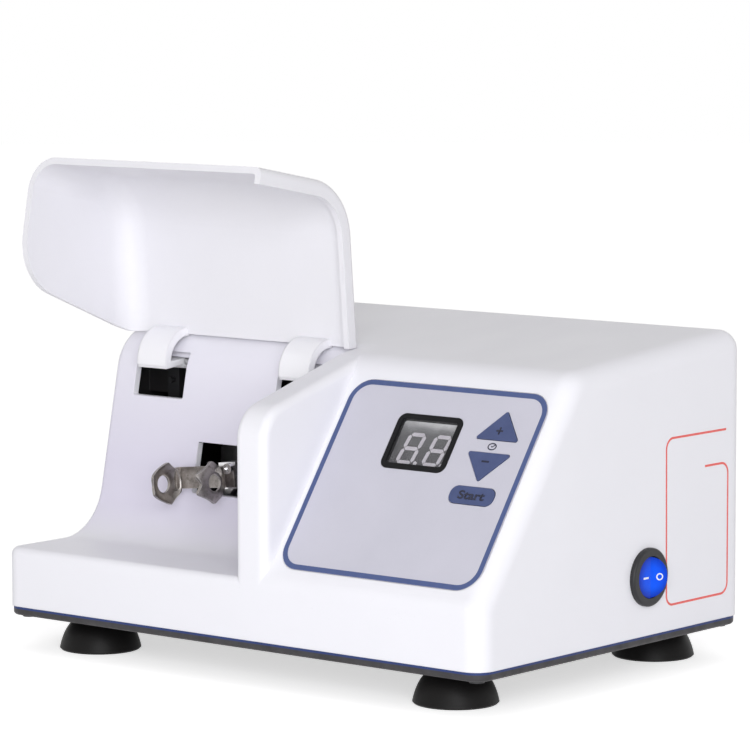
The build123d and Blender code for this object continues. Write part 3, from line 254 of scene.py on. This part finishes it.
    def roughness(self, value):
        self.link(value, self.shader.inputs["Roughness"])

    def relief(self, pattern, strength, height, below=None):
        """Bump from a pattern, over the normal below where there is one; height is in metres."""
        node = self.add("ShaderNodeBump", {"Strength": strength, "Distance": height})
        self.link(pattern, node.inputs["Height"])
        if below:
            self.link(below, node.inputs["Normal"])
        self.link(node.outputs["Normal"], self.shader.inputs["Normal"])


def shade(colour, factor):
    return tuple(min(1.0, part * factor) for part in colour)


def moulded(name, colour, rough, vary=0.02, grain=700, height=0.00002, strength=0.15,
            soft=0.0, wear=0.0, painted_shade=False, **constants):
    """Moulded plastic: faint clouding, fine grain, and handling marks that change the gloss; when
    asked, also painted shade on the wall behind the mixing bay and near-black painted shade on the
    hidden inside.
    """
    look = Shader(name, **constants)
    tone = look.clouded(shade(colour, 1 - vary), shade(colour, 1 + vary), 14, 4)
    specks = look.patches(1900, 1, over=(0.73, 0.8), to=(0, 0.35))
    tone = look.mix(specks, tone, shade(colour, 0.8))
    if wear:
        scuffs = look.patches(160, 4, over=(0.45, 0.65), to=(0, wear))
        pale = shade(tuple(part + 0.06 for part in colour), 1.6)
        tone = look.mix(look.rubbed(0.0005, scuffs), tone, pale)
    if painted_shade:
        # Painted shade: the wall behind the mixing bay turns darker and more violet, and the hidden
        # inside turns near black.
        tone = look.mix(look.bay_wall_shade(), tone, (0.70, 0.672, 0.785))
        tone = look.mix(look.inside_shade(), tone, (0.018, 0.017, 0.018))
    look.colour(tone)
    marks = look.noise(55, 6, 0.65, look.stretched((1, 0.35, 1.6), (0.4, 0.2, 0.9)))
    look.roughness(look.spread(marks, (0.3, 0.75), (rough * 0.85, rough * 1.2)))
    below = look.rounded(soft) if soft else None
    look.relief(look.noise(grain, 2), strength, height, below)
    return look.material


def metal(name, colour, rough, direction=(1, 1, 1), vary=0.08, wear=0.25, metallic=1.0):
    """Metal with brushing along one way, cloudy tone and brighter rubbed edges."""
    look = Shader(name, Metallic=metallic)
    tone = look.clouded(shade(colour, 1 - vary), shade(colour, 1 + vary), 90, 5, 0.6)
    look.colour(look.mix(look.rubbed(0.0004, wear), tone, shade(colour, 1.5)))
    brushing = look.noise(1100, 3, 0.6, look.stretched(direction))
    look.roughness(look.spread(brushing, (0.25, 0.75), (rough * 0.8, rough * 1.25)))
    look.relief(brushing, strength=0.12, height=0.00002)
    return look.material


def painted_pan():
    """Grey hammered paint, with a navy line painted along the top as the shadow in the seam under
    the housing, and chips on the edges.
    """
    look = Shader("base_grey", Specular_IOR_Level=0.3)
    tone = look.clouded((0.030, 0.028, 0.030), (0.055, 0.052, 0.056), 110, 5, 0.6)
    chips = look.rubbed(0.0005, look.patches(240, 4, over=(0.45, 0.6), to=(0, 0.6)))
    tone = look.mix(chips, tone, (0.24, 0.24, 0.25))
    # Painted shadow: a thin navy line along the top, where the pan meets the housing.
    height = look.parts(look.space)["Z"]
    seam_shadow = look.spread(height, over=(HOME["Z"] - 0.0012, HOME["Z"] - 0.0009))
    look.colour(look.mix(seam_shadow, tone, (0.022, 0.045, 0.17)))
    look.roughness(look.patches(300, 4, to=(0.42, 0.6)))
    look.relief(look.noise(420, 3), strength=0.25, height=0.00006)
    return look.material


def laminated(name, colour, step, axis):
    """Stacked electrical sheet: fine lines between sheets and a little rust bloom."""
    look = Shader(name, Metallic=0.8)
    sheets = look.bands(step, axis, 0.4)
    tone = look.mix(look.spread(sheets, over=(0.2, 0.8)), shade(colour, 0.55), colour)
    rust = look.patches(130, 5, 0.7, over=(0.52, 0.7), to=(0, 0.5))
    look.colour(look.mix(rust, tone, (0.16, 0.08, 0.045)))
    look.roughness(look.patches(400, 4, to=(0.42, 0.62)))
    look.relief(sheets, strength=0.4, height=0.00008)
    return look.material


def wound(name, colour, step, axis):
    """Enamelled wire laid in turns under varnish."""
    look = Shader(name, Metallic=0.35, Coat_Weight=0.6, Coat_Roughness=0.15)
    turns = look.bands(step, axis, 0.6, wobble=2)
    tone = look.mix(look.spread(turns, over=(0.1, 0.7)), shade(colour, 0.3), colour)
    shine = look.patches(120, 3, over=(0.35, 0.7), to=(0, 0.5))
    look.colour(look.mix(shine, tone, shade(colour, 1.3)))
    look.roughness(look.patches(500, 3, to=(0.28, 0.42)))
    look.relief(turns, strength=0.6, height=0.0002)
    return look.material


def circuit_board():
    """Green board with brighter tracks and tinned pads under solder resist."""
    look = Shader("board_green", Coat_Weight=0.5, Coat_Roughness=0.12)
    lanes = look.cells(210, feature="DISTANCE_TO_EDGE", distance="MANHATTAN")
    tracks = look.spread(lanes, over=(0.05, 0.09), to=(1, 0))
    pads = look.spread(look.cells(260), over=(0.16, 0.2), to=(1, 0))
    tone = look.mix(tracks, (0.015, 0.13, 0.05), (0.04, 0.27, 0.10))
    look.colour(look.mix(pads, tone, (0.62, 0.62, 0.58)))
    look.roughness(look.spread(pads, over=(0, 1), to=(0.42, 0.25)))
    look.relief(tracks, strength=0.3, height=0.00005)
    return look.material


def panel_film():
    """Printed polyester film: fine screened grain, faint cloud and softly worn patches."""
    look = Shader("panel_foil", Specular_IOR_Level=0.45)
    tone = look.clouded((0.565, 0.558, 0.635), (0.602, 0.592, 0.672), 30, 4)
    fine = look.noise(3200, 2)
    dots = look.spread(fine, over=(0.4, 0.7), to=(0, 0.12))
    look.colour(look.mix(dots, tone, (0.48, 0.47, 0.55)))
    look.roughness(look.patches(70, 3, over=(0.35, 0.7), to=(0.4, 0.52)))
    look.relief(fine, strength=0.12, height=0.00001)
    return look.material


def key_film():
    """Blue printed key with paler, rubbed edges."""
    look = Shader("key_blue", Specular_IOR_Level=0.28)
    tone = look.clouded((0.060, 0.080, 0.185), (0.072, 0.096, 0.215), 140, 4)
    rub = look.rubbed(0.0004, look.patches(300, 3, over=(0.4, 0.6), to=(0.1, 0.4)))
    look.colour(look.mix(rub, tone, (0.2, 0.23, 0.36)))
    look.roughness(look.patches(90, 4, to=(0.42, 0.55)))
    look.relief(look.noise(2800, 2), strength=0.1, height=0.00001)
    return look.material


def smoked_window():
    """Thin clear window with a trace of smoke, dust and fine wiping marks."""
    look = Shader("window", IOR=1.49, Specular_IOR_Level=0.35, Alpha=0.12)
    smoke, dust = (0.16, 0.16, 0.17), (0.34, 0.34, 0.35)
    look.colour(look.clouded(smoke, dust, 400, 4, over=(0.45, 0.7)))
    look.roughness(look.patches(120, 4, to=(0.08, 0.16)))
    look.relief(look.noise(900, 2), strength=0.05, height=0.00001)
    return look.material


def display_painted_reflection():
    """Grey face of the digit module, with a painted reflection that brightens it towards its top,
    under fine dust.
    """
    look = Shader("display_painted_reflection", Specular_IOR_Level=0.2)
    low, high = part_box("display_window")
    height = look.spread(look.parts(look.space)["Z"], over=(low.z, high.z))
    drift = look.patches(130, 3, to=(-0.05, 0.05))
    # Painted reflection: the face runs from dark at its bottom to bright near its top.
    reflection_ramp = look.add("ShaderNodeValToRGB")
    stops = reflection_ramp.color_ramp.elements
    stops[0].position, stops[0].color = 0.0, (0.11, 0.105, 0.115, 1)
    stops[1].position, stops[1].color = 0.95, (0.85, 0.85, 0.87, 1)
    for position, tone in ((0.45, 0.13), (0.68, 0.165), (0.8, 0.31)):
        stops.new(position).color = (tone, tone, tone * 1.04, 1)
    look.link(look.maths("ADD", height, drift), reflection_ramp.inputs["Fac"])
    dust = look.patches(1700, 2, over=(0.62, 0.75), to=(0, 0.5))
    look.colour(look.mix(dust, reflection_ramp.outputs["Color"], (0.5, 0.5, 0.52)))
    look.roughness(look.patches(500, 3, to=(0.4, 0.6)))
    look.relief(look.noise(900, 2), strength=0.1, height=0.00002)
    return look.material


def lit_digits():
    """Pale, slightly uneven plastic of the digits' bars."""
    look = Shader("segments")
    look.colour(look.clouded((0.70, 0.66, 0.73), (0.80, 0.77, 0.83), 300, 3, over=(0.35, 0.7)))
    look.roughness(look.patches(700, 2, to=(0.4, 0.55)))
    look.relief(look.noise(1500, 2), strength=0.08, height=0.00001)
    return look.material


def clear_glass():
    """Glass tube of the fuse, with faint smears."""
    look = Shader("fuse_glass", Transmission_Weight=0.9, IOR=1.5)
    look.colour(look.clouded((0.86, 0.9, 0.88), (0.95, 0.97, 0.96), 200, 3))
    look.roughness(look.patches(500, 3, to=(0.02, 0.08)))
    look.relief(look.noise(800, 2), strength=0.05, height=0.00001)
    return look.material


def blue_rocker():
    """Glossy blue rocker, with painted shade that keeps it brighter in its middle and darker
    towards its rim.
    """
    look = Shader("rocker_blue", Specular_IOR_Level=0.12)
    tone = look.clouded((0.003, 0.082, 0.86), (0.005, 0.12, 0.98), 120, 3)
    low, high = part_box("switch_rocker")
    # Painted shade: darker with distance from the rocker's middle, out to its rim.
    middle = (high.x - 0.001, (low.y + high.y) / 2, (low.z + high.z) / 2)
    gap = look.add("ShaderNodeVectorMath", {1: middle}, operation="DISTANCE")
    look.link(look.space, gap.inputs[0])
    rim_shade = look.spread(gap.outputs["Value"], (0.0035, 0.0092), (0, 0.85), smooth=True)
    look.colour(look.mix(rim_shade, tone, (0.002, 0.018, 0.33)))
    look.roughness(look.patches(80, 4, to=(0.16, 0.28)))
    look.relief(look.noise(900, 2), strength=0.06, height=0.00001)
    return look.material


def fork_metal():
    """Stamped sprung steel with dull grey smears, dark spots and brighter rubbed rims."""
    look = Shader("fork_grey", Metallic=1.0)
    clouds = look.noise(170, 6, 0.65)
    dark, light = (0.19, 0.175, 0.165), (0.40, 0.37, 0.355)
    tone = look.mix(look.spread(clouds, over=(0.35, 0.65)), dark, light)
    spots = look.patches(420, 5, 0.7, over=(0.52, 0.66), to=(0, 0.6))
    tone = look.mix(spots, tone, (0.10, 0.085, 0.078))
    look.colour(look.mix(look.rubbed(0.0004, 0.6), tone, (0.75, 0.74, 0.72)))
    look.roughness(look.spread(clouds, over=(0.3, 0.7), to=(0.26, 0.46)))
    look.relief(look.noise(240, 4, 0.6), strength=0.35, height=0.00012)
    return look.material


def ink(name, colour, rough=0.45):
    """Screen-printed ink: slightly uneven, with a fine broken grain."""
    look = Shader(name)
    tone = look.clouded(shade(colour, 0.94), shade(colour, 1.06), 420, 4)
    broken = look.patches(5200, 2, over=(0.66, 0.78), to=(0, 0.3))
    look.colour(look.mix(broken, tone, shade(colour, 0.7)))
    look.roughness(look.patches(600, 3, to=(rough * 0.9, rough * 1.1)))
    look.relief(look.noise(3800, 2), strength=0.1, height=0.00001)
    return look.material


finishes = {
    "housing_white": moulded(
        "housing_white", (0.86, 0.855, 0.90), 0.42, vary=0.012, grain=900, height=0.000012,
        strength=0.12, soft=0.0006, painted_shade=True, Specular_IOR_Level=0.35),
    "lid_white": moulded(
        "lid_white", (0.795, 0.788, 0.825), 0.4, vary=0.012, height=0.00001, strength=0.08),
    "foot_rubber": moulded(
        "foot_rubber", (0.0055, 0.005, 0.005), 0.5, vary=0.25, grain=1500, height=0.00005,
        strength=0.3, wear=0.12, Specular_IOR_Level=0.16),
    "black_plastic": moulded(
        "black_plastic", (0.022, 0.022, 0.024), 0.45, vary=0.15, grain=1300, height=0.00003,
        strength=0.25, wear=0.12, Specular_IOR_Level=0.3),
    "bezel_black": moulded(
        "bezel_black", (0.005, 0.005, 0.006), 0.35, vary=0.1, grain=1500, height=0.00001,
        strength=0.1, soft=0.0003, wear=0.08, Specular_IOR_Level=0.15),
    "magnet": moulded(
        "magnet", (0.045, 0.045, 0.05), 0.6, vary=0.2, grain=900, height=0.00006, strength=0.35),
    "black_steel": metal("black_steel", (0.03, 0.03, 0.033), 0.5, metallic=0.0),
    "steel": metal("steel", (0.56, 0.56, 0.57), 0.34, (1, 12, 1), vary=0.06),
    "bright_steel": metal(
        "bright_steel", (0.72, 0.72, 0.73), 0.2, (1, 1, 8), vary=0.05, wear=0.2),
    "lever_alloy": metal("lever_alloy", (0.78, 0.78, 0.79), 0.3, (10, 1, 1), vary=0.1, wear=0.4),
    "bronze": metal("bronze", (0.55, 0.36, 0.16), 0.36, (1, 1, 10), vary=0.1),
    "motor_grey": metal("motor_grey", (0.33, 0.34, 0.36), 0.38, (1, 14, 1), vary=0.06),
    "fork_grey": fork_metal(),
    "base_grey": painted_pan(),
    "iron": laminated("iron", (0.30, 0.30, 0.31), 0.0005, "Y"),
    "copper": wound("copper", (0.62, 0.26, 0.12), 0.0005, "Z"),
    "coil": wound("coil", (0.55, 0.33, 0.08), 0.0006, "Z"),
    "board_green": circuit_board(),
    "panel_foil": panel_film(),
    "key_blue": key_film(),
    "window": smoked_window(),
    "segments": lit_digits(),
    "rocker_blue": blue_rocker(),
    "fuse_glass": clear_glass(),
}
arm_white = moulded(
    "arm_white", (0.88, 0.875, 0.905), 0.4, vary=0.012, height=0.00001, strength=0.08, soft=0.0011)
own_finish = {
    "hinge_arm_left": arm_white,
    "hinge_arm_right": arm_white,
    "display_module": display_painted_reflection(),
}
for name in sorted(nodes):
    for slot in nodes[name].material_slots:
        key = slot.material.name.split(".")[0]
        if key in finishes:
            slot.material = own_finish.get(name, finishes[key])

# ---- printed marks ----
INK_THICKNESS = 0.00005
FILM_LIFT = 0.00004
KEY_LIFT = 0.00006
RAY_START, RAY_REACH = 0.02, 0.06
surfaces = {}


def add_object(name, data):
    """A new object in the scene."""
    thing = bpy.data.objects.new(name, data)
    bpy.context.scene.collection.objects.link(thing)
    return thing


def surface(name):
    """A CAD node's faces, for casting rays at."""
    if name not in surfaces:
        mesh = nodes[name].data
        points = [tuple(vertex.co) for vertex in mesh.vertices]
        faces = [tuple(face.vertices) for face in mesh.polygons]
        surfaces[name] = BVHTree.FromPolygons(points, faces)
    return surfaces[name]


def printed(mesh, where, facing, carrier, body, material, lift=FILM_LIFT):
    """Lays a flat mesh on a CAD node: where(x, y) is a point, facing the side it is seen from."""
    for vertex in mesh.vertices:
        start = where(vertex.co.x, vertex.co.y)
        hit = surface(carrier).ray_cast(start + facing * RAY_START, -facing, RAY_REACH)
        vertex.co = (hit[0] if hit[0] else start) + facing * lift
    mesh.update()
    piece = add_object(mesh.name, mesh)
    piece.data.materials.append(material)
    if any(face.normal.dot(facing) < 0 for face in mesh.polygons):
        mesh.flip_normals()
    thick = piece.modifiers.new("ink", "SOLIDIFY")
    thick.thickness = INK_THICKNESS
    thick.offset = 0
    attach(piece, body)


def on_film(mesh, material, carrier="panel_overlay", body="housing", lift=FILM_LIFT):
    """Prints on the control panel or on one of its keys."""
    printed(mesh, on_panel, PANEL_OUT, carrier, body, material, lift)


def on_right(mesh, material, carrier="housing_shell", body="housing"):
    """Prints on the housing's right side or on its rocker."""
    printed(mesh, on_side, RIGHT, carrier, body, material)


def arc(centre, radius, start, end, count=10):
    turns = [radians(start + (end - start) * step / count) for step in range(count + 1)]
    return [(centre[0] + radius * cos(turn), centre[1] + radius * sin(turn)) for turn in turns]


def ring(centre, radius, count=28):
    return arc(centre, radius, 0, 360, count)[:-1]


def rounded_box(left, right, low, high, radius):
    centres = (
        (right - radius, high - radius),
        (left + radius, high - radius),
        (left + radius, low + radius),
        (right - radius, low + radius),
    )
    points = []
    for index, centre in enumerate(centres):
        points += arc(centre, radius, 90 * index, 90 * (index + 1))
    return points


def divided(points, step):
    """The same line with points no further apart than step."""
    out = [points[0]]
    for start, end in zip(points, points[1:]):
        run = (end[0] - start[0], end[1] - start[1])
        count = max(1, ceil(sqrt(run[0] ** 2 + run[1] ** 2) / step))
        for index in range(1, count + 1):
            out.append((start[0] + run[0] * index / count, start[1] + run[1] * index / count))
    return out


def ribbon(name, points, width, closed=False):
    """A flat band of one width along a line."""
    sharpest = 0.4  # the least cosine that a corner is mitred for
    total = len(points)
    sides = []
    for index, point in enumerate(points):
        before = points[index - 1] if index or closed else point
        after = points[(index + 1) % total] if index < total - 1 or closed else point
        run_in = Vector((point[0] - before[0], point[1] - before[1]))
        run_out = Vector((after[0] - point[0], after[1] - point[1]))
        run_in = run_in.normalized() if run_in.length else run_out.normalized()
        run_out = run_out.normalized() if run_out.length else run_in
        middle = (run_in + run_out).normalized()
        reach = width / 2 / max(sharpest, middle.dot(run_in))
        across = Vector((-middle.y, middle.x)) * reach
        sides.append((Vector(point) + across, Vector(point) - across))
    corners = [(corner.x, corner.y, 0) for pair in sides for corner in pair]
    faces = []
    for index in range(total if closed else total - 1):
        here, after = 2 * index, 2 * ((index + 1) % total)
        faces.append((here, here + 1, after + 1, after))
    mesh = bpy.data.meshes.new(name)
    mesh.from_pydata(corners, [], faces)
    return mesh


def lettering(name, words, centre, height, weight, stretch=1.0):
    """A flat mesh of some words around a centre."""
    curve = bpy.data.curves.new(name, "FONT")
    curve.body = words
    curve.align_x = "CENTER"
    curve.align_y = "CENTER"
    curve.size = height
    curve.offset = weight
    curve.fill_mode = "BOTH"
    text = bpy.data.objects.new(name, curve)
    mesh = bpy.data.meshes.new_from_object(text)
    bpy.data.objects.remove(text)
    bpy.data.curves.remove(curve)
    xs = [vertex.co.x for vertex in mesh.vertices]
    ys = [vertex.co.y for vertex in mesh.vertices]
    middle = ((min(xs) + max(xs)) / 2, (min(ys) + max(ys)) / 2)
    for vertex in mesh.vertices:
        vertex.co.x = centre[0] + (vertex.co.x - middle[0]) * stretch
        vertex.co.y = centre[1] + vertex.co.y - middle[1]
    mesh.name = name
    return mesh


border_ink = ink("border_ink", (0.058, 0.09, 0.235))
navy_ink = ink("navy_ink", (0.009, 0.011, 0.032), 0.6)
white_ink = ink("white_ink", (0.85, 0.87, 0.92), 0.4)
red_ink = ink("red_ink", (0.80, 0.13, 0.11))

# The control panel: its frame, and the marks in and beside the column of keys.
PANEL_LOW, PANEL_HIGH = 6.2, 92.6
BORDER_INSET = 1.25
BORDER_ROUND = 8.55
BORDER_WIDTH = 2.2
overlay_low, overlay_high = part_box("panel_overlay")
frame_left = (overlay_low.x - ORIGIN.x) / MM + BORDER_INSET
frame_right = (overlay_high.x - ORIGIN.x) / MM - BORDER_INSET
frame_low, frame_high = PANEL_LOW + BORDER_INSET, PANEL_HIGH - BORDER_INSET
outline = rounded_box(frame_left, frame_right, frame_low, frame_high, BORDER_ROUND)
outline = divided(outline + outline[:1], step=6)[:-1]
on_film(ribbon("panel_border", outline, BORDER_WIDTH, closed=True), border_ink)

PLUS_ALONG, CLOCK_ALONG, MINUS_ALONG, START_ALONG = 75.0, 68.1, 61.3, 46.3
CLOCK_SQUASH = 0.72
key_low, key_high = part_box("start_key")
keys_at = ((key_low.x + key_high.x) / 2 - ORIGIN.x) / MM
plus = lettering("plus_sign", "+", (keys_at + 0.8, PLUS_ALONG), height=6.4, weight=0.09)
on_film(plus, navy_ink, "up_key", "up_button", KEY_LIFT)
stroke = [(keys_at - 1.9, MINUS_ALONG), (keys_at + 1.7, MINUS_ALONG)]
minus = ribbon("minus_sign", stroke, width=0.8)
on_film(minus, navy_ink, "down_key", "down_button", KEY_LIFT)
below = (keys_at, START_ALONG)
start = lettering("start_word", "Start", below, height=5.0, weight=0.15, stretch=1.3)
on_film(start, navy_ink, "start_key", "start_button", KEY_LIFT)
dial = ring((keys_at, CLOCK_ALONG), radius=1.9)
dial = [(x, CLOCK_ALONG + (y - CLOCK_ALONG) * CLOCK_SQUASH) for x, y in dial]
on_film(ribbon("clock_ring", dial, width=0.5, closed=True), navy_ink)
hand = [(keys_at - 0.5, CLOCK_ALONG + 0.2), (keys_at, CLOCK_ALONG - 0.2)]
hand.append((keys_at + 1.2, CLOCK_ALONG + 0.8))
on_film(ribbon("clock_hand", hand, width=0.4), navy_ink)

# Two thin lines of the side label's frame, given by distance back and height.
LABEL_WIDTH = 0.9
LABEL_STEP = 5
LABEL_ROUND = 4.5
around = arc((158.5, 14.8), LABEL_ROUND, 0, -90) + arc((124.5, 14.3), 4.0, 270, 180)
around += arc((124.5, 72.8), LABEL_ROUND, 180, 90) + [(161.5, 77.3)]
hook = [(146.8, 63.7)] + arc((158.5, 59.2), LABEL_ROUND, 90, 0) + [(163.0, 14.8)]
for name, line in (("label_line_front", around), ("label_line_back", hook)):
    on_right(ribbon(name, divided(line, LABEL_STEP), LABEL_WIDTH), red_ink)

# The rocker: a dash on its front end and a ring on its back end.
rocker_low, rocker_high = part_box("switch_rocker")
mid_back = (rocker_low.y + rocker_high.y) / 2 / MM - ORIGIN.y / MM
mid_up = (rocker_low.z + rocker_high.z) / 2 / MM - ORIGIN.z / MM
dash = divided([(mid_back - 4.8, mid_up), (mid_back - 1.5, mid_up)], step=0.5)
dash = ribbon("on_mark", dash, width=0.75)
on_right(dash, white_ink, "switch_rocker", "rocker")
loop = ring((mid_back + 3.6, mid_up), radius=1.2)
loop = ribbon("off_mark", loop, width=0.5, closed=True)
on_right(loop, white_ink, "switch_rocker", "rocker")

# ---- floor, world, light ----
FLOOR_RADIUS = 4.0
FLOOR_GLOW = 0.58
floor_mesh = bpy.data.meshes.new("floor")
form = bmesh.new()
bmesh.ops.create_circle(form, cap_ends=True, radius=FLOOR_RADIUS, segments=64)
form.to_mesh(floor_mesh)
form.free()
floor = add_object("floor", floor_mesh)
floor_look = bpy.data.materials.new("floor")
floor_mesh.materials.append(floor_look)
ground = Tree(floor_look, "ShaderNodeOutputMaterial")
paper = ground.add("ShaderNodeBsdfDiffuse", {"Color": (0.93, 0.93, 0.93, 1)})
glow = ground.add("ShaderNodeEmission", {"Color": (1, 1, 1, 1), "Strength": FLOOR_GLOW})
both = ground.add("ShaderNodeAddShader")
ground.link(paper.outputs["BSDF"], both.inputs[0])
ground.link(glow.outputs["Emission"], both.inputs[1])
ground.show(paper.outputs["BSDF"], both.outputs["Shader"])

SKY_LEVEL, SKY_TOP = 0.645, 0.405  # light from the horizon, and from straight above
world = bpy.data.worlds.new("studio")
bpy.context.scene.world = world
sky = Tree(world, "ShaderNodeOutputWorld")
ambient = sky.add("ShaderNodeBackground", {"Color": (1.0, 0.99, 0.985, 1)})
height = sky.parts(sky.add("ShaderNodeTexCoord").outputs["Generated"])["Z"]
strength = sky.spread(height, over=(0, 1), to=(SKY_LEVEL, SKY_TOP))
sky.link(strength, ambient.inputs["Strength"])
backdrop = sky.add("ShaderNodeBackground", {"Color": (1, 1, 1, 1), "Strength": 1.0})
sky.show(ambient.outputs["Background"], backdrop.outputs["Background"])


def soft_box(name, width, height, power, colour=(1, 1, 1)):
    """An area lamp, which shines down until it is turned."""
    light = bpy.data.lights.new(name, "AREA")
    light.shape = "RECTANGLE"
    light.size = width
    light.size_y = height
    light.energy = power
    light.color = colour
    return add_object(name, light)


# The key light faces the middle of the object; an azimuth of 0 is in front, 90 on the right.
KEY_AZIMUTH, KEY_ELEVATION = radians(41), radians(12)
KEY_REACH = 2.0
KEY_AIM = Vector((0, 0, 0.07))
towards_key = Vector((
    sin(KEY_AZIMUTH) * cos(KEY_ELEVATION),
    -cos(KEY_AZIMUTH) * cos(KEY_ELEVATION),
    sin(KEY_ELEVATION),
))
key_light = soft_box("key_light", width=1.2, height=1.2, power=25.5, colour=(0.97, 0.98, 1.0))
key_light.location = KEY_AIM + towards_key * KEY_REACH
key_light.rotation_euler = towards_key.to_track_quat("Z", "Y").to_euler()

# The fill lies low in front of the tray, for the faces that the key light leaves dull.
front_fill = soft_box("front_fill", width=0.36, height=0.05, power=0.14)
front_fill.location = (-0.02, -0.50, 0.035)
front_fill.rotation_euler = (pi / 2, 0, 0)
front_fill.visible_glossy = False

# ---- camera ----
CAMERA_PLACE = (1158.493, -1165.1, 277.23)
LENS = 191.47
yaw, pitch, roll = radians(39.47), radians(6.331), radians(-0.105)
back = Vector((sin(yaw) * cos(pitch), -cos(yaw) * cos(pitch), sin(pitch)))
across = Vector((cos(yaw), sin(yaw), 0))
level = Matrix((across, back.cross(across), back)).transposed()
turned = level @ Matrix.Rotation(roll, 3, "Z")
camera_data = bpy.data.cameras.new("camera")
camera_data.sensor_width = 36
camera_data.sensor_fit = "HORIZONTAL"
camera_data.lens = LENS
camera_data.clip_start = 0.05
camera_data.clip_end = 30
camera = add_object("camera", camera_data)
camera.matrix_world = Matrix.Translation(place(*CAMERA_PLACE)) @ turned.to_4x4()
bpy.context.scene.camera = camera

bpy.context.scene.view_settings.view_transform = "Standard"

bpy.context.view_layer.update()
